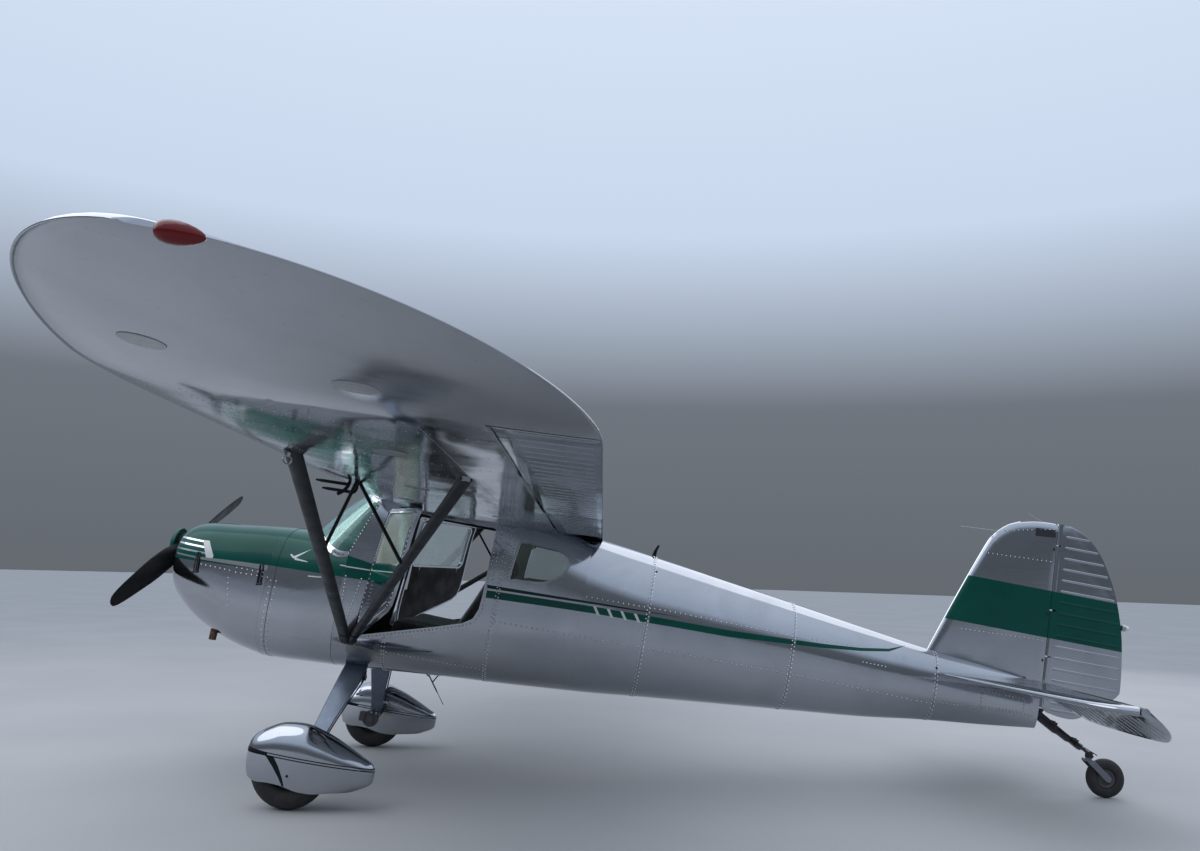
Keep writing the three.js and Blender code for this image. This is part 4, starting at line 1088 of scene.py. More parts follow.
def make_doors():
    outline = round_corners(offset(DOOR_OUTLINE, 6), 24)
    window = round_corners(DOOR_WINDOW, 24)
    heel = side_prism(DOOR_HEEL, 290, 700)

    def panel(high, low, shape, *holes):
        return hollow(CABIN, high, low, 60, *within(side_prism(shape, 300, 620)), *cut(*holes))

    def hang(name, mesh, material, stands_for=None):
        pair(name, mesh, material, "door_", stands_for, door_turn)

    hang("door_skin_", panel(0, -WALL, outline, heel, side_prism(window, 300, 700)), ALU, "door_")
    # The solver leaves a notch in the right lining, so the left one is cut on its own side, not mirrored.
    for where, side in SIDES:
        steps = within(side_prism(offset(outline, 12), 300, 620, side))
        steps += cut(side_prism(DOOR_HEEL, 290, 700, side), side_prism(offset(window, -14), 300, 700, side))
        lining = hollow(CABIN, 0.5 - WALL, -1.5 - WALL, 60, *steps)
        piece("door_lining_" + where, lining, TRIM, "door_" + where, turn=door_turn(side))
    hang("door_window_frame_", panel(1.6, -1, offset(window, -7), side_prism(window, 290, 710)), CHROME)
    pane = panel(-8, -11, offset(window, 0.5))
    # the left pane's pale film is partly dust and partly painted reflection
    for (where, side), kind in zip(SIDES, (DUST_AND_PAINTED_GLARE, GLASS)):
        own = pane.copy() if side > 0 else mirrored(pane)
        piece("door_pane_" + where, own, kind, "door_" + where, ["door_window_" + where], door_turn(side))
    rear = panel(-8, -11, offset(smooth_line(REAR_WINDOW, 5, closed=True), 0.5))
    pair("rear_pane_", rear, GLASS, stands_for="rear_window_")


# Fin, rudder, tailplane, elevator

# inset from the outline and half thickness
EDGE_ROUND = [(0, 3), (2.5, 12), (8, 20), (18, 27), (34, 31), (60, 33)]
RUDDER_ROUND = [(0, 2.6), (3, 26), (14, 29)]
ELEVATOR_ROUND = [(0, 2.2), (3, 20), (12, 22.5)]
# x and share of the thickness near the front, then near the back
FIN_TAPER = (3760, 0.42, 4560, 1.0)
RUDDER_TAPER = (4560, 1.0, 5071, 0.14)
STAB_TAPER = (3801, 0.36, STAB_X, 0.78)
ELEVATOR_TAPER = (STAB_X, 1.0, 4766, 0.18)
RUDDER_HINGES = (330, 640, 1080)
STAB_HINGES = (330, 1180)
# lays an upright panel flat at the tailplane's height, its z becoming y
LAY = Matrix(((1, 0, 0, 0), (0, 0, 1, 0), (0, 1, 0, STAB_Z), (0, 0, 0, 1)))
BAND_TOP = line_plane((3969, 773), (4985, 763))
BAND_FOOT = line_plane((3848, 457), (5039, 449))


def in_band(c):
    return side_of(BAND_TOP, c) < 0 < side_of(BAND_FOOT, c)


def share_at(x, taper):
    x0, k0, x1, k1 = taper
    return k0 + (k1 - k0) * min(1.0, max(0.0, (x - x0) / (x1 - x0)))


def pillow(outline, layers, taper):
    """A flat-sided upright panel from an outline in x and z, with rounded edges."""
    rings = []
    for inset, half in [*[(d, -h) for d, h in reversed(layers)], *layers]:
        ring = offset(outline, inset) if inset else outline
        rings.append([(x, half * share_at(x, taper), z) for x, z in ring])
    return loft(rings)


def rudder_x(z):
    """x of the rudder's hinge line."""
    return FIN_FOOT[0] + (FIN_HEAD[0] - FIN_FOOT[0]) * (z - FIN_FOOT[1]) / (FIN_HEAD[1] - FIN_FOOT[1])


def rudder_rod(z0, z1, r):
    return rod((rudder_x(z0), 0, z0), (rudder_x(z1), 0, z1), r, 36)


def bead_rows(heights, front, edge, inset, shortest):
    """Heights and two ends in x for beads that stop short of a trailing edge."""
    zs, xs = zip(*sorted((z, x) for x, z in edge))
    rows = [(z, front(z), float(np.interp(z, zs, xs)) - inset) for z in heights]
    return [(z, start, end) for z, start, end in rows if end - start >= shortest]


def panel_beads(rows, half, taper, width, height):
    """Beads on both sides of an upright panel."""
    out = []
    for z, start, end in rows:
        for side in (-1, 1):
            path = [(x, side * half * share_at(x, taper), z) for x in ridge(start, end)]
            out.append(bead(path, width, height, (0, side, 0)))
    return joined(out)


def make_fin():
    outline = [(3745, 140), *smooth_line(FIN_OUTLINE[1:10], 6), (4563, 120)]
    behind = [(rudder_x(-300), -300), (rudder_x(1400), 1400), (5300, 1400), (5300, -300)]
    fin = carve(pillow(outline, EDGE_ROUND, FIN_TAPER),
                *cut(rudder_rod(-80, 1260, 36), prism_y(behind, -400, 400)))
    paint(fin, 1, [BAND_TOP, BAND_FOOT], in_band)
    piece("fin_skin", fin, [ALU, GREEN], stands_for=["fin"])


def make_rudder():
    outline = [(rudder_x(-8) - 4, -8), (rudder_x(1227) - 4, 1227), *smooth_line(RUDDER_OUTLINE[2:], 4)]
    slots = [rod((rudder_x(z), 0, z - 5), (rudder_x(z), 0, z + 5), 34) for z in RUDDER_HINGES]
    plate = carve(pillow(outline, RUDDER_ROUND, RUDDER_TAPER), *plus(rudder_rod(-8, 1228, 30)), *cut(*slots))
    heights = [107 + 74.5 * k for k in range(15)]
    rows = bead_rows(heights, lambda z: rudder_x(z) + 36, RUDDER_OUTLINE[2:14], 12, 40)
    rows += [(z, 4610, 4790) for z in (-10, 34)]
    rudder = merged(plate, panel_beads(rows, 29, RUDDER_TAPER, 17, 4.0))
    paint(rudder, 1, [BAND_TOP, BAND_FOOT], in_band)
    piece("rudder_skin", rudder, [ALU, GREEN], "rudder", ["rudder"])


def make_tailplane():
    outline = [(3801, 20), (3801, 60), *smooth_line(STAB_OUTLINE[1:7], 6), (STAB_X, 20)]
    verts, faces = moved(pillow(outline, EDGE_ROUND, STAB_TAPER), LAY)
    slope = tan(radians(STAB_SLOPE))
    sloped = [(x, y, z + (x - STAB_X) * slope) for x, y, z in verts]
    skin = carve((sloped, faces), *cut(pin(STAB_X, STAB_Z, 0, 1600, 30, 32),
                                       block(STAB_X, 5000, -10, 1600, 0, 300)))
    plates = []
    for y in STAB_HINGES:
        plates.append(pin(STAB_X, STAB_Z, y - PLATE / 2, y + PLATE / 2, 12, 20))
        plates.append(block(STAB_X - 64, STAB_X, y - PLATE / 2, y + PLATE / 2, STAB_Z - 12, STAB_Z + 12))
    pair("stabilizer_skin_", merged(skin, joined(plates)), ALU, stands_for="stabilizer_")


def make_elevator():
    outline = [(STAB_X - 3, 92), (STAB_X - 3, 1449), *smooth_line(ELEVATOR_OUTLINE[2:], 5)]
    plate = moved(pillow(outline, ELEVATOR_ROUND, ELEVATOR_TAPER), LAY)
    slots = [pin(STAB_X, STAB_Z, y - 4.5, y + 4.5, 28) for y in STAB_HINGES]
    plate = carve(plate, *plus(pin(STAB_X, STAB_Z, 92, 1446, 24, 32)), *cut(*slots))
    places = [250 + 76 * k for k in range(16)]
    rows = bead_rows(places, lambda y: STAB_X + 42, ELEVATOR_OUTLINE[2:11], 24, 50)
    half = merged(plate, moved(panel_beads(rows, 22.5, ELEVATOR_TAPER, 16, 3.6), LAY))
    whole = merged(half, mirrored(half), pin(STAB_X, STAB_Z, -120, 120, 16))
    droop = (Matrix.Translation((STAB_X, 0, STAB_Z)) @ Matrix.Rotation(radians(ELEVATOR_DROOP), 4, "Y")
             @ Matrix.Translation((-STAB_X, 0, -STAB_Z)))
    piece("elevator_skin", whole, ALU, "elevator", ["elevator"], droop)


# Struts, legs, spats and wheels

# profiles of radius and y about the wheel's axle; a half is mirrored about its middle
TYRE_WALL = [(104, -56), (125, -72), (160, -76), (192, -64), (210, -46)]
TYRE_RIBS = (-36, -24, -12, 0, 12, 24, 36)
HALF_RIM = [(16.4, -52), (40, -54), (58, -52), (62, -46), (72, -40), (88, -40), (96, -46), (102.6, -54)]
TAIL_TYRE = [
    (64, -27), (80, -32), (98, -31), (112, -24), (121, -14), (125, 0), (121, 14), (112, 24), (98, 31),
    (80, 32), (64, 27),
]
HALF_TAIL_HUB = [(8.4, -30), (20, -30), (26, -24), (30, -20), (44, -14), (57.7, -18)]
TAIL_AXLE = (5029, 0, -384.1)
# seams on the spat in x and z: a wedge at its nose and a slant down its outer side
SEAM_WEDGE = [(-330, -1008), (-150, -1001), (-150, -983), (-330, -976)]
SEAM_SLANT = [
    (-168, -996), (-112, -996), (-72, -1044), (-38, -1100), (-18, -1144), (-28, -1144), (-60, -1100),
    (-104, -1050), (-146, -1010),
]


def make_struts():
    over = block(-400, 1600, -6000, 6000, 600, 1500)
    kept = block(-400, 1600, -4000, 4000, -420, 700)
    for which, foot, head, (long, thin) in zip(("front", "rear"), STRUT_FOOT, STRUT_HEAD, STRUT_SIZE):
        foot, head = Vector(foot), Vector(head)
        way = (head - foot).normalized()
        strut = carve(blade_rod(foot, head, long, thin, 40), *cut(over), *within(kept))
        cuff = blade_rod(foot + way * 16, foot + way * 150, long * 0.9 + 8, thin + 6, 32)
        top = blade_rod(head - way * 190, head - way * 12, long * 0.92 + 6, thin + 6, 32)
        name = "strut_" + which + "_"
        pair(name + "tube_", merged(strut, cuff, top), BLACK, stands_for=name)
    head, front, rear = JURY
    jury = [tube([head, front], 9, 16), tube([head, rear], 9, 16),
            rod((264, 2000, 540), (264, 2000, 572), 13, 20)]
    pair("jury_tubes_", joined(jury), BLACK, stands_for="jury_strut_")


def leg_ring(row, across):
    x, y, z, wide, thick = row
    w, h = wide / 2, thick / 2
    e = min(h * 0.8, 5)
    upper = [(-w, h - e), (-w + e, h), (w - e, h), (w, h - e)]
    return [(x + a, y + b * across[0], z + b * across[1])
            for a, b in upper + [(a, -b) for a, b in reversed(upper)]]


def make_legs():
    rows = [row[1:] for row in fine([(s, *row) for s, row in enumerate(LEG_TABLE)], 0.25)]
    rings = []
    for before, row, after in zip([rows[0], *rows], rows, [*rows[1:], rows[-1]]):
        dy, dz = after[1] - before[1], after[2] - before[2]
        length = hypot(dy, dz)
        rings.append(leg_ring(row, (-dz / length, dy / length)))
    leg = merged(loft(rings), pin(AXLE_X, AXLE_Z, 866, 1078, 16))
    pair("leg_spring_", leg, LEG_PAINT, stands_for="main_leg_", sharp=40)


def spat_loft(grow, narrowest=0):
    return loft([body_ring(row, grow, 72) for row in fine(SPAT, 18) if row[3] > narrowest])


def make_spats():
    edge = smooth_line(SPAT_EDGE[:12], 4) + SPAT_EDGE[12:]
    spat = carve(spat_loft(0), *cut(spat_loft(-4, 18), prism_y(edge, -300, 300)))
    seams = [block(-330, 480, -300, 300, z, z + 5.5) for z in (-1001, -987)]
    seams += [prism_y(SEAM_WEDGE, -300, 300), prism_y(SEAM_SLANT, 0, 300)]
    belts = carve(carve(spat_loft(1.6), *cut(spat_loft(-1.5))), *within(joined(seams)))
    for mesh in (spat, belts):
        mesh.transform(Matrix.Translation((0, TRACK_HALF, 0)))
    pair("spat_skin_", spat, ALU, stands_for="spat_")
    pair("spat_seam_", belts, BLACK)
    pair("spat_hole_", pin(-12, -1086, 1090, 1098.6, 13), ALU_DULL)
    # a dark disc inside the hole's rim, painted shade
    pair("spat_hole_painted_shade_", pin(-12, -1086, 1090, 1099.2, 8, 20), DARK)


def both_ways(half, middle=()):
    return [*half, *middle, *[(r, -y) for r, y in reversed(half)]]


def make_wheels():
    ribs = []
    for y in TYRE_RIBS:
        r = 222 - 9 * (abs(y) / 40) ** 2
        ribs += [(r, y - 3.4), (r - 6, y - 2.4), (r - 6, y + 2.4), (r, y + 3.4)]
    tyre = both_ways([(103, -50), *smooth_line(TYRE_WALL, 4)], ribs)
    axle = (AXLE_X, TRACK_HALF, AXLE_Z)
    pair("tyre_tread_", lathe(tyre, 72, axle), TYRE, "main_wheel_", "tyre_")
    pair("wheel_hub_", lathe(both_ways(HALF_RIM), 64, axle), ALU_DULL, "main_wheel_", "wheel_")
    tail_tyre = [(58, -18), *smooth_line(TAIL_TYRE, 3), (58, 18)]
    piece("tail_tyre_tread", lathe(tail_tyre, 56, TAIL_AXLE), TYRE, "tail_wheel", ["tail_tyre"])
    tail_hub = lathe(both_ways(HALF_TAIL_HUB), 48, TAIL_AXLE)
    piece("tail_wheel_hub", tail_hub, IRON, "tail_wheel", ["tail_wheel"])


# Propeller

# x and radius
HUB = [(-34, 70), (-30, 74), (42, 74), (46, 70)]
SPINNER = [
    (-34.4, 104), (-38, 104), (-50, 101), (-60, 94), (-70, 80), (-77, 64), (-82, 46), (-85.5, 28), (-87, 10),
]


def blade(side):
    rings = []
    for r, chord, thick, pitch in fine(BLADE_TABLE, 24):
        c, s = cos(radians(pitch)), sin(radians(pitch))
        ring = [(0.5 * chord * a, 0.5 * thick * b * (0.8 + 0.2 * a)) for a, b in circle(28)]
        rings.append([(u * s + v * c, side * r, side * (u * c - v * s)) for u, v in ring])
    return loft(rings)


def make_propeller():
    turn = Matrix.Translation((PROP_X, 0, 0)) @ Matrix.Rotation(radians(PROP_ANGLE), 4, "X")
    hub = tube([(x, 0, 0) for x, _ in HUB], [r for _, r in HUB], 56)
    blades = carve(blade(-1), *plus(blade(1)), *plus(hub), *within(block(-34, 46, -FAR, FAR, -FAR, FAR)))
    piece("propeller_blades", blades, BLADE, "propeller", ["propeller"], turn)
    piece("spinner_dome", lathe_x(SPINNER, 0, 56), GREEN, "propeller", ["spinner"], turn)


# Cabin

WHEEL_Y, WHEEL_Z = 235, 60
# a control wheel's rim, across and up from its shaft
WHEEL_ARC = [
    (-126, 20), (-134, -10), (-120, -40), (-84, -58), (0, -64), (84, -58), (120, -40), (134, -10), (126, 20),
    (96, 40), (96, 40),
]
# y, z and radius
DIALS = [
    (-330, 150, 40), (-235, 150, 40), (-140, 150, 40), (-330, 50, 40), (-140, 50, 40), (0, 150, 34),
    (0, 70, 34), (140, 150, 40), (235, 150, 40), (330, 150, 34), (140, 50, 34),
]


def control_wheel(y):
    arc = smooth_line([(52, y + a, WHEEL_Z + b) for a, b in WHEEL_ARC], 5)
    return [tube([(x, y, WHEEL_Z) for x in (-120, 20, 56)], 11, 20), tube(arc, 10, 12),
            tube([(52, y - 110, 30), (52, y, 34), (52, y + 110, 30)], 9, 12),
            block(42, 62, y - 36, y + 36, 4, 76)]


def make_cabin():
    face = carve(body_loft(DECK, -23, 5, 40), *within(block(-128, -112, -FAR, FAR, -70, FAR)))
    piece("panel_face", face, PANEL, stands_for=["instrument_panel"])
    piece("control_wheels", joined(control_wheel(-WHEEL_Y) + control_wheel(WHEEL_Y)), BLACK)
    faces, rims = [], []
    for y, z, r in DIALS:
        turn = Matrix.Translation((-111.6, y, z)) @ Matrix.Rotation(radians(-90), 4, "Z")
        faces.append(moved(lathe([(0.4, 0), (r + 1, 0), (r + 1, 3), (0.4, 3)], 40), turn))
        rims.append(moved(lathe([(r, 0), (r + 5, 0), (r + 5, 8), (r, 6)], 40), turn))
    piece("dial_faces", joined(faces), DIAL)
    piece("dial_rims", joined(rims), PANEL)


# Stripes, as outlines in x and z on the fuselage's sides

STRIPE_MAIN = [
    (813, 95), (1200, 108), (1500, 116), (2000, 121), (2390, 122), (3000, 144), (3270, 163), (3463, 190),
    (3589, 230), (3465, 173), (3270, 143), (3000, 118), (2390, 80), (2000, 78), (1505, 73), (1200, 64),
    (815, 48),
]
STRIPE_THIN = [(806, 129), (1500, 143), (2060, 149), (2044, 147), (1500, 130), (811, 107)]
SLASHES = [[(x, 118), (x + 19, 118), (x + 53, 68), (x + 34, 68)] for x in (1490, 1578, 1666, 1754)]
NOSE_BARS = [[(-1330, z + 5.5), (end, z + 5.5), (end + 8, z - 5.5), (-1330, z - 5.5)]
             for z, end in ((60, -1080), (25, -1060), (-12, -1038), (-48, -1020))]
NOSE_BLOCK = [(-1094, 68), (-1049, 71), (-988, -18), (-992, -36), (-1036, -38)]
SEAM_STRIP = [(-1120, -43), (-833, -22), (-608, -10), (-608, -42), (-833, -48), (-1068, -55), (-1120, -58)]
TICK = [
    [(-486, 86), (-474, 88), (-455, 78), (-352, 143), (-444, 66), (-462, 66)],
    [(-452, 64), (-440, 70), (-356, 62), (-352, 57), (-440, 56)],
]
DASHES = [
    [(-329, -23), (-220, -12), (-219, -19), (-328, -31)], [(-138, 82), (-100, 84), (-100, 77), (-138, 76)],
]
CABIN_DASH = [(-99, 81), (60, 86), (60, 79), (-99, 74)]
CABIN_STRIPE = [(-99, 148), (66, 125), (60, 16), (-99, 10)]
DOOR_STRIPE = [(20, 132), (800, 144), (800, 43), (20, 15)]
DOOR_LINE = [(20, 86), (800, 98), (800, 92), (20, 80)]
FILM_FOOT = -1.5
# name, section, outlines, material, height over the skin, and the ends in x
DECALS = [
    ("nose_bars_", COWL, NOSE_BARS, CHROME, 1.2, -2000, 6000),
    ("nose_block_", COWL, [NOSE_BLOCK], LINE, 1.6, -2000, 6000),
    ("seam_strip_", COWL, [SEAM_STRIP], CHROME, 2.0, -1118, -608),
    ("tick_", DECK, TICK, LINE, 1.0, -2000, 6000),
    ("front_dashes_", DECK, DASHES, LINE, 0.8, -2000, 6000),
    ("cabin_stripe_", CABIN, [CABIN_STRIPE], GREEN, 0.5, -99.5, 80),
    ("cabin_dash_", CABIN, [CABIN_DASH], LINE, 0.9, -99, 80),
    ("stripe_aft_cabin_", CABIN, [STRIPE_MAIN], GREEN, 0.5, 803, TAIL_X),
    ("stripe_aft_tail_", TAIL, [STRIPE_MAIN], GREEN, 0.5, TAIL_X, 3600),
    ("thin_aft_cabin_", CABIN, [STRIPE_THIN], GREEN_DARK, 0.5, 803, TAIL_X),
    ("thin_aft_tail_", TAIL, [STRIPE_THIN], GREEN_DARK, 0.5, TAIL_X, 3600),
    ("slashes_", TAIL, SLASHES, LINE, 0.9, -2000, 6000),
]


def make_stripes():
    for name, table, outlines, kind, lift, x0, x1 in DECALS:
        film = skin_between(table, FILM_FOOT, lift, x0, x1)
        pair(name, carve(film, *within(joined([side_prism(o, 2) for o in outlines]))), kind)
    keep = side_prism(round_corners(offset(DOOR_OUTLINE, 7), 24), 300, 620)
    for name, outline, kind, lift in (("door_stripe_", DOOR_STRIPE, GREEN, 0.5),
                                      ("door_line_", DOOR_LINE, LINE, 0.9)):
        film = carve(skin_between(CABIN, FILM_FOOT, lift, -90, 900, 60), *within(prism_y(outline, -FAR, FAR)))
        pair(name, carve(film, *within(keep)), kind, "door_", None, door_turn)


# Rivets

RIVET_R, RIVET_HIGH = 5.0, 2.4
# rows along the fuselage's sides: a broken line in x and z, and the spacing
SIDE_ROWS = [
    ([(-1060, -84), (-850, -88)], 34), ([(-812, -62), (-600, -60)], 36), ([(-812, -92), (-590, -84)], 36),
    ([(-854, -134), (-815, -330)], 36),
    ([(-84, 20), (-62, -300)], 24), ([(18, 20), (-34, -300)], 24), ([(-98, 160), (20, 500)], 24),
    ([(-30, -336), (84, -338), (560, -196), (700, -151), (778, -112), (808, -40), (812, 480)], 24),
    ([(405, -280), (530, -246)], 26), ([(-20, -402), (-6, -402)], 26), ([(230, -402), (880, -400)], 26),
    ([(928, 430), (928, 190)], 24), ([(836, 500), (836, 150)], 24),
    ([(900, -85), (2810, -81), (3790, -110)], 34),
    ([(1440, 168), (2050, 172), (2810, 160), (3270, 176)], 34), ([(3292, 76), (3458, 73)], 26),
    ([(3840, -92), (4500, -70)], 26),
    ([(4120, 36), (4420, 26), (4420, -60), (4120, -72), (4120, 36)], 24),
]
# broken lines, spacing and the rivets' radius
LEG_ROOT_ROWS = [
    ([(12, -398), (206, -418)], 19, RIVET_R), ([(214, -424), (214, -474)], 17, RIVET_R),
    ([(22, -468), (196, -482)], 21, RIVET_R), ([(-34, -350), (-34, -388)], 18, 6),
    ([(48, -350), (48, -386)], 18, 6),
]
DOOR_ROWS = [
    ([(62, -280), *offset(DOOR_OUTLINE, 20)[2:]], 30, RIVET_R), ([(88, 120), (62, -256)], 30, RIVET_R),
    ([(85, 150), (109, 446)], 17, 4), ([(118, -244), (560, -118), (690, -74)], 34, RIVET_R),
]
RIVETS, SHADES = [], []


def rivet(place, normal, r, h):
    """A domed rivet head on the skin, with a dark ring of painted shade round it."""
    u = normal.orthogonal().normalized()
    v = normal.cross(u)
    head = ((r, -0.4), (r * 0.72, h * 0.8), (0.1, h))
    painted_shade = ((r * 1.3, -1.0), (r * 1.3, 0.3))
    for out, rows in ((RIVETS, head), (SHADES, painted_shade)):
        out.append(loft([[place + u * a + v * b + normal * lift for a, b in circle(6, wide)]
                         for wide, lift in rows]))


def spaced(points, step):
    """Points step apart along a broken line."""
    pts = [Vector(p) for p in points]
    out, left = [], 0.0
    for a, b in zip(pts, pts[1:]):
        length = (b - a).length
        at = left
        while at <= length:
            out.append(a.lerp(b, at / length))
            at += step
        left = at - length
    return out


def side_rivets(rows, sides=(-1, 1)):
    for points, step, r in rows:
        for p in spaced(points, step):
            for side in sides:
                hit = on_hull(p.x, p.y, side)
                if hit:
                    rivet(*hit, r, RIVET_HIGH)


def girth_rivets(x, a0, a1, step):
    a = a0
    while a <= a1:
        hit = round_hull(x, a)
        if hit:
            rivet(*hit, RIVET_R, RIVET_HIGH)
            a += degrees(step / max(120, hypot(hit[0].y, hit[0].z)))
        else:
            a += 2


def flush_rivets(hang, name, *where):
    """Makes pieces of the rivets gathered so far; hang is piece, or pair for those of the right side."""
    # the rivet heads, then the dark rings of painted shade round them
    for heads, kind, material in ((RIVETS, "rivets_", RIVET), (SHADES, "rivet_grime_", DARK_STEEL)):
        hang(kind + name, joined(heads), material, *where, sharp=60)
        heads.clear()


# Seams, straps and plates of the fuselage

STRAPS = (884, 1845, 2815, 3800)
SILL_OUTER = [(-20, -352), (112, -356), (566, -214), (720, -168), (800, -118), (826, -42)]
SILL_INNER = [(826, -60), (812, -136), (724, -190), (566, -238), (112, -382), (-20, -378)]
LEG_COLLAR = [
    (4, -388), (120, -396), (214, -410), (222, -470), (206, -492), (150, -486), (20, -478), (-6, -440),
]
STRUT_BRACKET = [(-44, -342), (56, -340), (66, -372), (40, -398), (-30, -398), (-52, -368)]


def girth_strip(x0, x1, a0, a1, lift, thick, count=90):
    """A strip round the fuselage between two angles."""
    rings = []
    for k in range(count + 1):
        ends = [round_hull(x, a0 + (a1 - a0) * k / count) for x in (x0, x1)]
        if None in ends:
            continue
        (p, n), (q, m) = ends
        rings.append([p + n * lift, q + m * lift, q - m * thick, p - n * thick])
    return loft(rings)


def make_seams():
    straps = []
    for x in STRAPS:
        straps.append(girth_strip(x, x + 15, 195 if x < 900 else -88, 268, 0.9, 3))
        for d in (-9, 7.5):
            girth_rivets(x + d, -88, 268, 27)
    piece("lap_straps", joined(straps), ALU)
    lines = [girth_strip(x - 1.2, x + 0.6, -88, 268, 0.35, 2) for x in STRAPS[1:]]
    lines += [girth_strip(-551, -548.5, -180, 180, 0.6, 2), girth_strip(231, 233, 212, 328, 0.4, 2, 40)]
    piece("seam_lines", joined(lines), DARK)
    # the cowl's trailing lip over the boot cowl, green above and bare below
    lip = skin_between(DECK, -1.5, 1.4, FIREWALL_X - 5, -552)
    paint(lip, 1, [GREEN_EDGE], lambda c: side_of(GREEN_EDGE, c) > 0)
    piece("cowl_lip", lip, [ALU, GREEN])


def make_hull_rivets():
    for x in (-570, -532):
        girth_rivets(x, 184, 356, 40)
    for x in (224, 240):
        girth_rivets(x, 214, 326, 26)
    side_rivets([(points, step, RIVET_R) for points, step in SIDE_ROWS])
    flush_rivets(piece, "fuselage")
    side_rivets(LEG_ROOT_ROWS)
    flush_rivets(piece, "leg_root")
    side_rivets(DOOR_ROWS, (1,))
    flush_rivets(pair, "door_", "door_", None, door_turn)


def make_hull_plates():
    sill = doubled(side_prism(SILL_OUTER + SILL_INNER))
    piece("sill_strap", carve(skin_between(CABIN, -1, 1.2, -90, 900, 60), *within(sill)), ALU)
    hole = smooth_line(REAR_WINDOW, 5, closed=True)
    rim = carve(skin_between(CABIN, -1, 1.6, 920, 1400), *within(side_prism(offset(hole, -12))),
                *cut(side_prism(hole, 190, FAR + 10)))
    pair("rear_window_rim_", rim, ALU_DULL)
    # the riveted collar plate where the leg leaves the hull, and the struts' foot bracket
    collar = side_prism(round_corners(LEG_COLLAR, 14), 300)
    pair("leg_collar_", carve(skin_between(CABIN, -1, 2.4, -60, 300, 40), *within(collar)), ALU_DULL)
    bracket = side_prism(round_corners(STRUT_BRACKET, 8), 300)
    pair("strut_bracket_", carve(skin_between(CABIN, -1, 4.5, -90, 100, 40), *within(bracket)), DARK_STEEL)


# Rivets, covers, lamps and probes of the wings

# x, y and half lengths of the covers under the wing
WING_COVERS = [
    (410, 4532, 58, 40), (888, 4450, 58, 42), (760, 3480, 60, 60), (620, 2300, 60, 60), (900, 1200, 60, 60),
    (430, 1450, 82, 46),
]
CAP_X, CAP_Y = 470, 1150
LAMP_X, LAMP_Y = 676, 5083
# distance aft of its nose and radius of the position lamp
LAMP_SHAPE = [
    (0, 3), (2, 9), (6, 14.5), (14, 19), (26, 21.5), (42, 21.5), (58, 19), (72, 15), (82, 10.5), (89, 6),
    (92, 2),
]
WING_TREE = as_tree(WING)
PROBE_Y = -1900


def on_wing(x, y, up):
    return skin_hit(WING_TREE, Vector((x, y, 1500 if up else 0)), Vector((0, 0, -1 if up else 1)))


def make_wing_rivets():
    rows = []
    for y in range(640, 4021, 338):
        x0, x1 = planform(y)
        rows.append(([(x0 + 60, y), (min(x1 - 40, 1178), y)], 34))
    rows += [([(x, 560), (x, 4150)], 38) for x in (330, 980, 1176)]
    for up in (True, False):
        for points, step in rows:
            for p in spaced(points, step):
                hit = on_wing(p.x, p.y, up)
                if hit:
                    rivet(*hit, 2.4, 0.9)
    flush_rivets(pair, "wing_")


def tip_bead():
    ys = [4300 + 776 * sin(pi / 2 * k / 60) for k in range(61)]
    front, back = [], []
    for y in ys:
        x0, x1 = planform(y)
        front.append((x0 - 0.5, y, chord_z(x0, y)[0]))
        back.append((x1 + 0.5, y, chord_z(x1, y)[0]))
    return tube(front + back[::-1][1:], 2.6, 8)


def wing_cover(x, y, long, wide):
    ring = [(x + a, y + b, on_wing(x + a, y + b, False)[0].z) for a, b in circle(40, long, wide)]
    return loft([[(px, py, z + d) for px, py, z in ring] for d in (-1.8, 2)])


def lamp_part(low):
    """The position lamp of the right wing, or its base, which lies low further in."""
    z = chord_z(LAMP_X + 40, 5062)[0]
    return loft([[(LAMP_X + d, LAMP_Y - low - 7 + a, z + b) for a, b in circle(24, r * 0.9, r - low * 0.3)]
                 for d, r in LAMP_SHAPE])


def make_wing_fittings():
    pair("wing_tip_bead_", tip_bead(), ALU)
    pair("wing_covers_", joined([wing_cover(*row) for row in WING_COVERS]), ALU_DULL)
    cap_z = wing_skin_z(CAP_X, CAP_Y, True)
    caps = [rod((CAP_X, CAP_Y, cap_z - 6), (CAP_X, CAP_Y, cap_z + h), r, 40) for r, h in ((52, 3), (38, 10))]
    pair("wing_fuel_cap_", joined(caps), ALU_DULL)
    pair("lamp_base_", lamp_part(6), CHROME)
    piece("position_lamp_left", mirrored(lamp_part(0)), RED)
    piece("position_lamp_right", lamp_part(0), LAMP_GREEN)


def make_probes():
    """Twin air probes under the left wing, on two stalks."""
    probes = [tube([(x + dx, PROBE_Y, z + dz) for x, z in ((30, 532), (60, 532), (190, 536))], [5, 8, 8], 14)
              for dx, dz in ((0, 0), (40, -34))]
    stalk = [(150, PROBE_Y, 480), (176, PROBE_Y, 500), (196, PROBE_Y, 534), (206, PROBE_Y, 600)]
    brace = [(228, PROBE_Y, 500), (240, PROBE_Y, 520), (238, PROBE_Y, 560), (226, PROBE_Y, 600)]
    probes.append(tube(smooth_line(stalk, 5), 9, 14, 0.6))
    probes.append(tube(smooth_line(brace, 5), 7, 14))
    piece("air_probes", joined(probes), BLACK)


def make_strut_fittings():
    loop = [(244 + a, 2966, 545 + b) for a, b in circle(24, 17)]
    parts = [tube(loop + loop[:1], 3.6, 10), rod((244, 2966, 560), (250, 2972, 600), 7, 12)]
    for x, y, _ in STRUT_HEAD:
        parts += [block(x - 16, x + 16, y + d, y + d + 4, 586, 612) for d in (-11, 7)]
    piece("strut_fittings", doubled(*parts), ALU_DULL)


# Small fittings of the fuselage

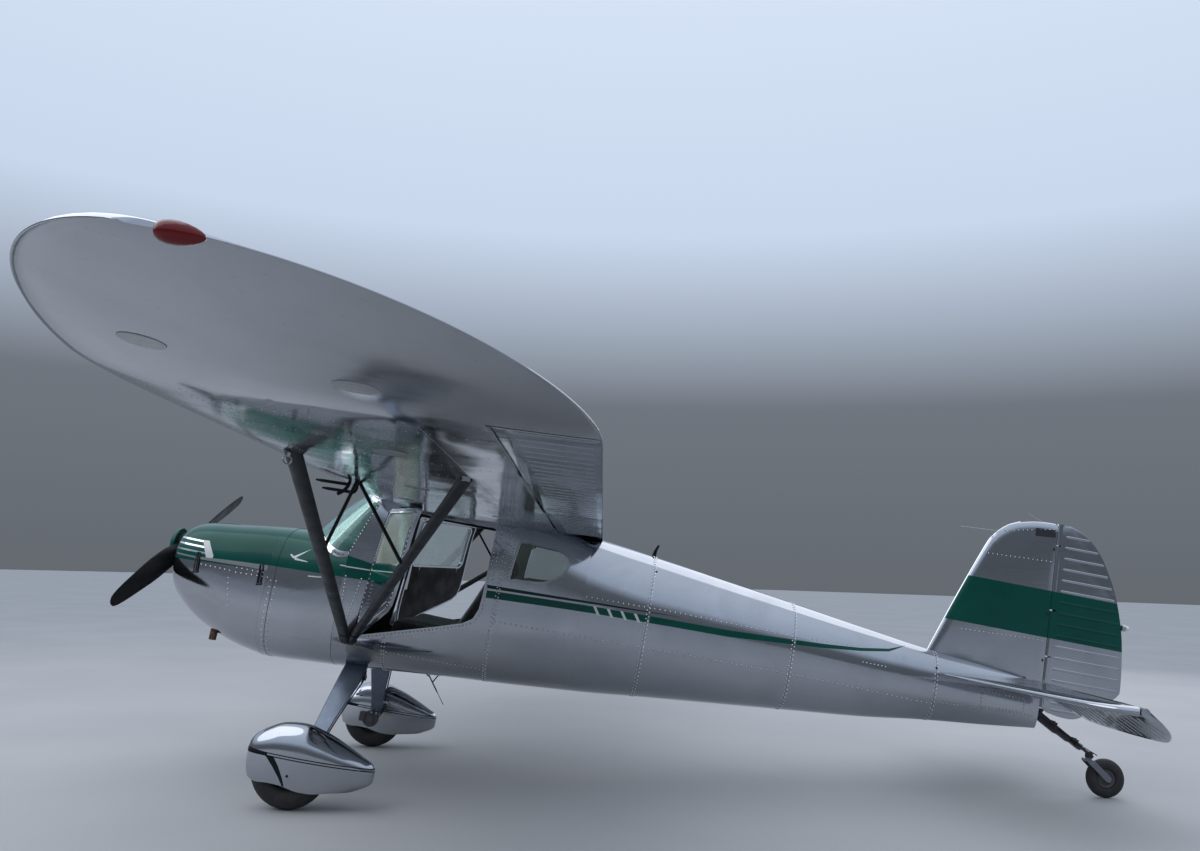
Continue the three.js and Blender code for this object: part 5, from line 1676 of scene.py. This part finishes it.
def latch(x, z):
    """A spring latch of the cowl: a wire loop that bows over the skin, and the pin through its end."""
    wire = []
    for k in range(15):
        t = k / 14
        place, normal = on_hull(x + 8 * t, z - 124 * t)
        wire.append(place + normal * (7 + 3 * sin(pi * t)))
    across = Vector((10, 0, 2))
    angles = [pi * k / 8 for k in range(7, 0, -1)]
    bend = [wire[0] + across * cos(a) + Vector((-2, 0, 9)) * sin(a) for a in angles]
    loop = [q - across for q in reversed(wire)] + bend + [q + across for q in wire]
    return [tube(loop, 4.4, 10), rod(wire[-2] - across * 1.8, wire[-2] + across * 1.8, 5, 12)]


def make_hull_fittings():
    piece("cowl_latches", doubled(*latch(-1092, -22), *latch(-649, -20)), DARK_STEEL)
    places = [on_hull(1857, 405), on_hull(3797, 123)]
    piece("side_ports", doubled(*[rod(p - n * 2, p + n * 2.2, 8, 20) for p, n in places]), DARK)


def make_aerials():
    mast = smooth_line([(462, 0, -534), (505, 0, -590), (560, 0, -660), (613, 0, -727)], 5)
    parts = [tube(mast, [4.5] * 10 + [2.2] * 6, 10), tube([(548, 0, -530), (512, 0, -594)], 4.2, 10),
             tube([(556, 0, -526), (542, 0, -546)], [13, 7], 16)]
    piece("belly_aerial", joined(parts), DARK_STEEL)
    foot = [(446, 0, -524), (458, 0, -536), (468, 0, -549), (478, 0, -562)]
    piece("belly_aerial_foot", tube(foot, [22, 18, 11, 6], 20), RUSTED)
    rings = [[(x - lean, 0, z), (x, thick, z), (x + lean, 0, z), (x, -thick, z)]
             for x, z, lean, thick in ((1836, 497, 15, 3), (1842, 545, 11, 2.4), (1858, 588, 7, 1.6))]
    piece("top_aerial", loft(rings), BLACK)


def make_fin_fittings():
    rods = [tube([(4152, 0, 1110), (3875, 0, 1096)], [2.6, 1.4], 8), pin(4152, 1110, -9, 9, 5, 10),
            tube([(4440, 0, 1222), (4330, 0, 1268)], [2.2, 1.2], 8)]
    piece("fin_rods", joined(rods), ALU_DULL)
    plate = round_corners([(4385, 1120), (4520, 1130), (4516, 1182), (4381, 1175)], 6)
    piece("fin_plates", doubled(prism_y(plate, 22, 31.5)), DARK_STEEL)
    lamp = lathe_x([(5040, 3), (5044, 17), (5064, 19), (5084, 14), (5092, 4)], 610)
    piece("tail_lamp", lamp, WHITE, "rudder")
    cup = lathe_x([(5030, 4), (5036, 22), (5058, 22), (5062, 18)], 610)
    piece("tail_lamp_cup", cup, ALU_DULL, "rudder")
    plates = [block(rudder_x(z) - 44, rudder_x(z) - 32, y - 1.5, y + 2.5, z - 9, z + 9)
              for z in (300, 610, 1050) for y in (-30, 30)]
    piece("rudder_hinge_plates", joined(plates), DARK)
    edge = [(x + 3, 0, z) for x, z in smooth_line(FIN_OUTLINE[1:8], 6)]
    piece("fin_edge_strip", tube(edge, 7, 12), CHROME)
    for row in (((4085, 946), (4530, 964)), ((3968, 408), (4518, 430)), ((4180, 1120), (4525, 1190))):
        for p in spaced(row, 30):
            for side in (-1, 1):
                place = Vector((p.x, side * 33 * share_at(p.x, FIN_TAPER), p.y))
                rivet(place, Vector((0, side, 0)), 4.4, 2.2)
    flush_rivets(piece, "fin")


# Tail spring, steering, and fittings of the main legs

SPRING_WAY = Vector((400, 0, -224)).normalized()
BRAKE_LINE = [
    (128, 330, -556), (138, 400, -612), (112, 530, -716), (86, 660, -828), (62, 790, -950), (36, 860, -1030),
    (4, 868, -1060),
]


def steering_place(t, side):
    """A place on the steering cable, at a share t of its way from the rudder to the fork."""
    return Vector((4560 + 380 * t, side * (30 + 16 * t), -46 - 200 * t - 16 * sin(pi * t)))


def steering(side):
    """Links of chain at both ends of the cable, and a coil spring between them."""
    links = []
    for k in (*range(12), *range(31, 40)):
        ends = [steering_place(t / 40, side) for t in (k, k + 1)]
        links.append(tube(ends, 3.6 if k % 2 else 2.4, 8))
    coil = []
    for k in range(241):
        a = 2 * pi * k / 10
        coil.append(steering_place(0.3 + 0.45 * k / 240, side) + Vector((2, 8 * cos(a), 8 * sin(a))))
    return [*links, tube(coil, 1.6, 5)]


def make_tail_fittings():
    piece("steering_springs", joined(steering(-1) + steering(1)), DARK_STEEL)
    clamps = [clamp(Vector(place) + SPRING_WAY * d, SPRING_WAY, 34, 22, 6)
              for place in ((4650, 0, -104), (4800, 0, -188)) for d in (-9, 9)]
    clamps.append(clamp(Vector((4545, 0, -46)), SPRING_WAY, 40, 32, 14))
    piece("tail_spring_clamps", joined(clamps), DARK_STEEL)
    leaves = [clamp(Vector((4530 + long / 2, 0, -38 - long * 0.28 - drop)), SPRING_WAY, 27, 4, long)
              for long, drop in ((330, 21), (240, 31), (150, 41))]
    piece("tail_spring_leaves", joined(leaves), DARK_STEEL)


def make_leg_fittings():
    turn = Matrix.Translation((132, 372, -588)) @ Matrix.Rotation(radians(40), 4, "X")
    clamps = [moved(block(-12, 12, -24, 24, -14, 14), turn), rod((132, 372, -588), (132, 404, -622), 7, 6)]
    pair("leg_clamps_", joined(clamps), DARK_STEEL)
    pair("brake_line_", tube(smooth_line(BRAKE_LINE, 6), 4.2, 10), BLACK)
    small = [rod((10, 742, -912), (98, 742, -912), 7, 14), rod((98, 742, -912), (98, 752, -930), 5, 12)]
    small += [pin(x, z, 834, 812, 8, 6) for x in (-24, 12) for z in (-1014, -986)]
    pair("leg_small_", joined(small), ALU_DULL)
    brake = [pin(AXLE_X, AXLE_Z, 852, 884, 60, 40), pin(AXLE_X, AXLE_Z, 840, 900, 26, 32),
             block(AXLE_X - 84, AXLE_X - 42, 844, 876, AXLE_Z - 26, AXLE_Z + 40)]
    brake += [pin(AXLE_X + a, AXLE_Z + b, 846, 860, 6, 6) for a, b in circle(6, 44)]
    pair("brake_", joined(brake), IRON)


def make_exhausts():
    outer, inner = [rod((EXHAUST_X, EXHAUST_Y, z0), (EXHAUST_X, EXHAUST_Y, z1), r, 32)
                    for z0, z1, r in ((-500, -566.4, 23.6), (-490, -580, 19))]
    pair("exhaust_sleeve_", carve(outer, *cut(inner)), RUSTED)


# Seats

CUSHION = [(222, -298), (680, -298), (680, -212), (222, -206)]
BACK = [(664, -176), (750, -176), (918, 292), (868, 300)]
# a pale cord along the seat backs' front edges: a painted highlight
EDGE_HIGHLIGHT = [(652, 416, -170), (742, 418, 30), (850, 416, 292), (884, 410, 304)]
SWELL_FRAMES = 20


def swell(obj, most):
    """Swells a closed mesh by a short cloth run, moving no point by more than most."""
    before = np.array([v.co[:] for v in obj.data.vertices])
    blow = obj.modifiers.new("cloth", "CLOTH")
    blow.settings.use_pressure = True
    blow.settings.uniform_pressure_force = 4
    blow.settings.effector_weights.gravity = 0
    blow.settings.mass = 0.3
    blow.point_cache.frame_end = SWELL_FRAMES
    scene = bpy.context.scene
    for f in range(1, SWELL_FRAMES + 1):
        scene.frame_set(f)
    blown = baked(obj)
    scene.frame_set(1)
    shift = np.array([v.co[:] for v in blown.vertices]) - before
    length = np.linalg.norm(shift, axis=1, keepdims=True)
    shift *= np.minimum(1, most / np.maximum(length, 1e-9))
    for v, p in zip(obj.data.vertices, before + shift):
        v.co = p


def soft_pad(name, part, node, most):
    """A stuffed pad from a closed solid: remeshed, swollen and smoothed."""
    mesh = as_mesh(part)
    mesh.transform(ROW)
    obj = placed(name, mesh)
    remesh = obj.modifiers.new("remesh", "REMESH")
    remesh.mode = "VOXEL"
    remesh.voxel_size = 0.012
    obj.data = baked(obj)
    swell(obj, most)
    smooth = obj.modifiers.new("smooth", "SUBSURF")
    smooth.levels = smooth.render_levels = 1
    obj.data = baked(obj)
    obj.data.shade_smooth()
    obj.data.materials.clear()
    obj.data.materials.append(CLOTH)
    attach(obj, "airframe")
    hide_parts(node)


def make_seats():
    soft_pad("seat_pad", prism_y(round_corners(CUSHION, 30), -412, 412), "seat_cushion", 0.024)
    soft_pad("seat_back_pad", prism_y(round_corners(BACK, 28), -412, 412), "seat_back", 0.022)
    # the pale cord on the seat backs' front edges is a painted highlight
    piece("seat_edge_highlight", doubled(tube(smooth_line(EDGE_HIGHLIGHT, 6), 5, 10)), LINE)


for make in (
    make_studio, make_cowl, make_fuselage, make_wings, make_windscreen, make_doors, make_fin, make_rudder,
    make_tailplane, make_elevator, make_struts, make_legs, make_spats, make_wheels, make_propeller,
    make_cabin, make_stripes, make_seams, make_hull_rivets, make_hull_plates, make_wing_rivets,
    make_wing_fittings, make_probes, make_strut_fittings, make_hull_fittings, make_aerials,
    make_fin_fittings, make_tail_fittings, make_leg_fittings, make_exhausts, make_seats,
):
    make()

NODE_MATERIALS = {
    "tail_fork": STEEL, "tail_spring": DARK_STEEL, "seat_frame": TRIM, "firewall": ALU_DULL,
    "engine_block": IRON,
}
for node, material in NODE_MATERIALS.items():
    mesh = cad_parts[node].data
    mesh.materials.clear()
    mesh.materials.append(material)
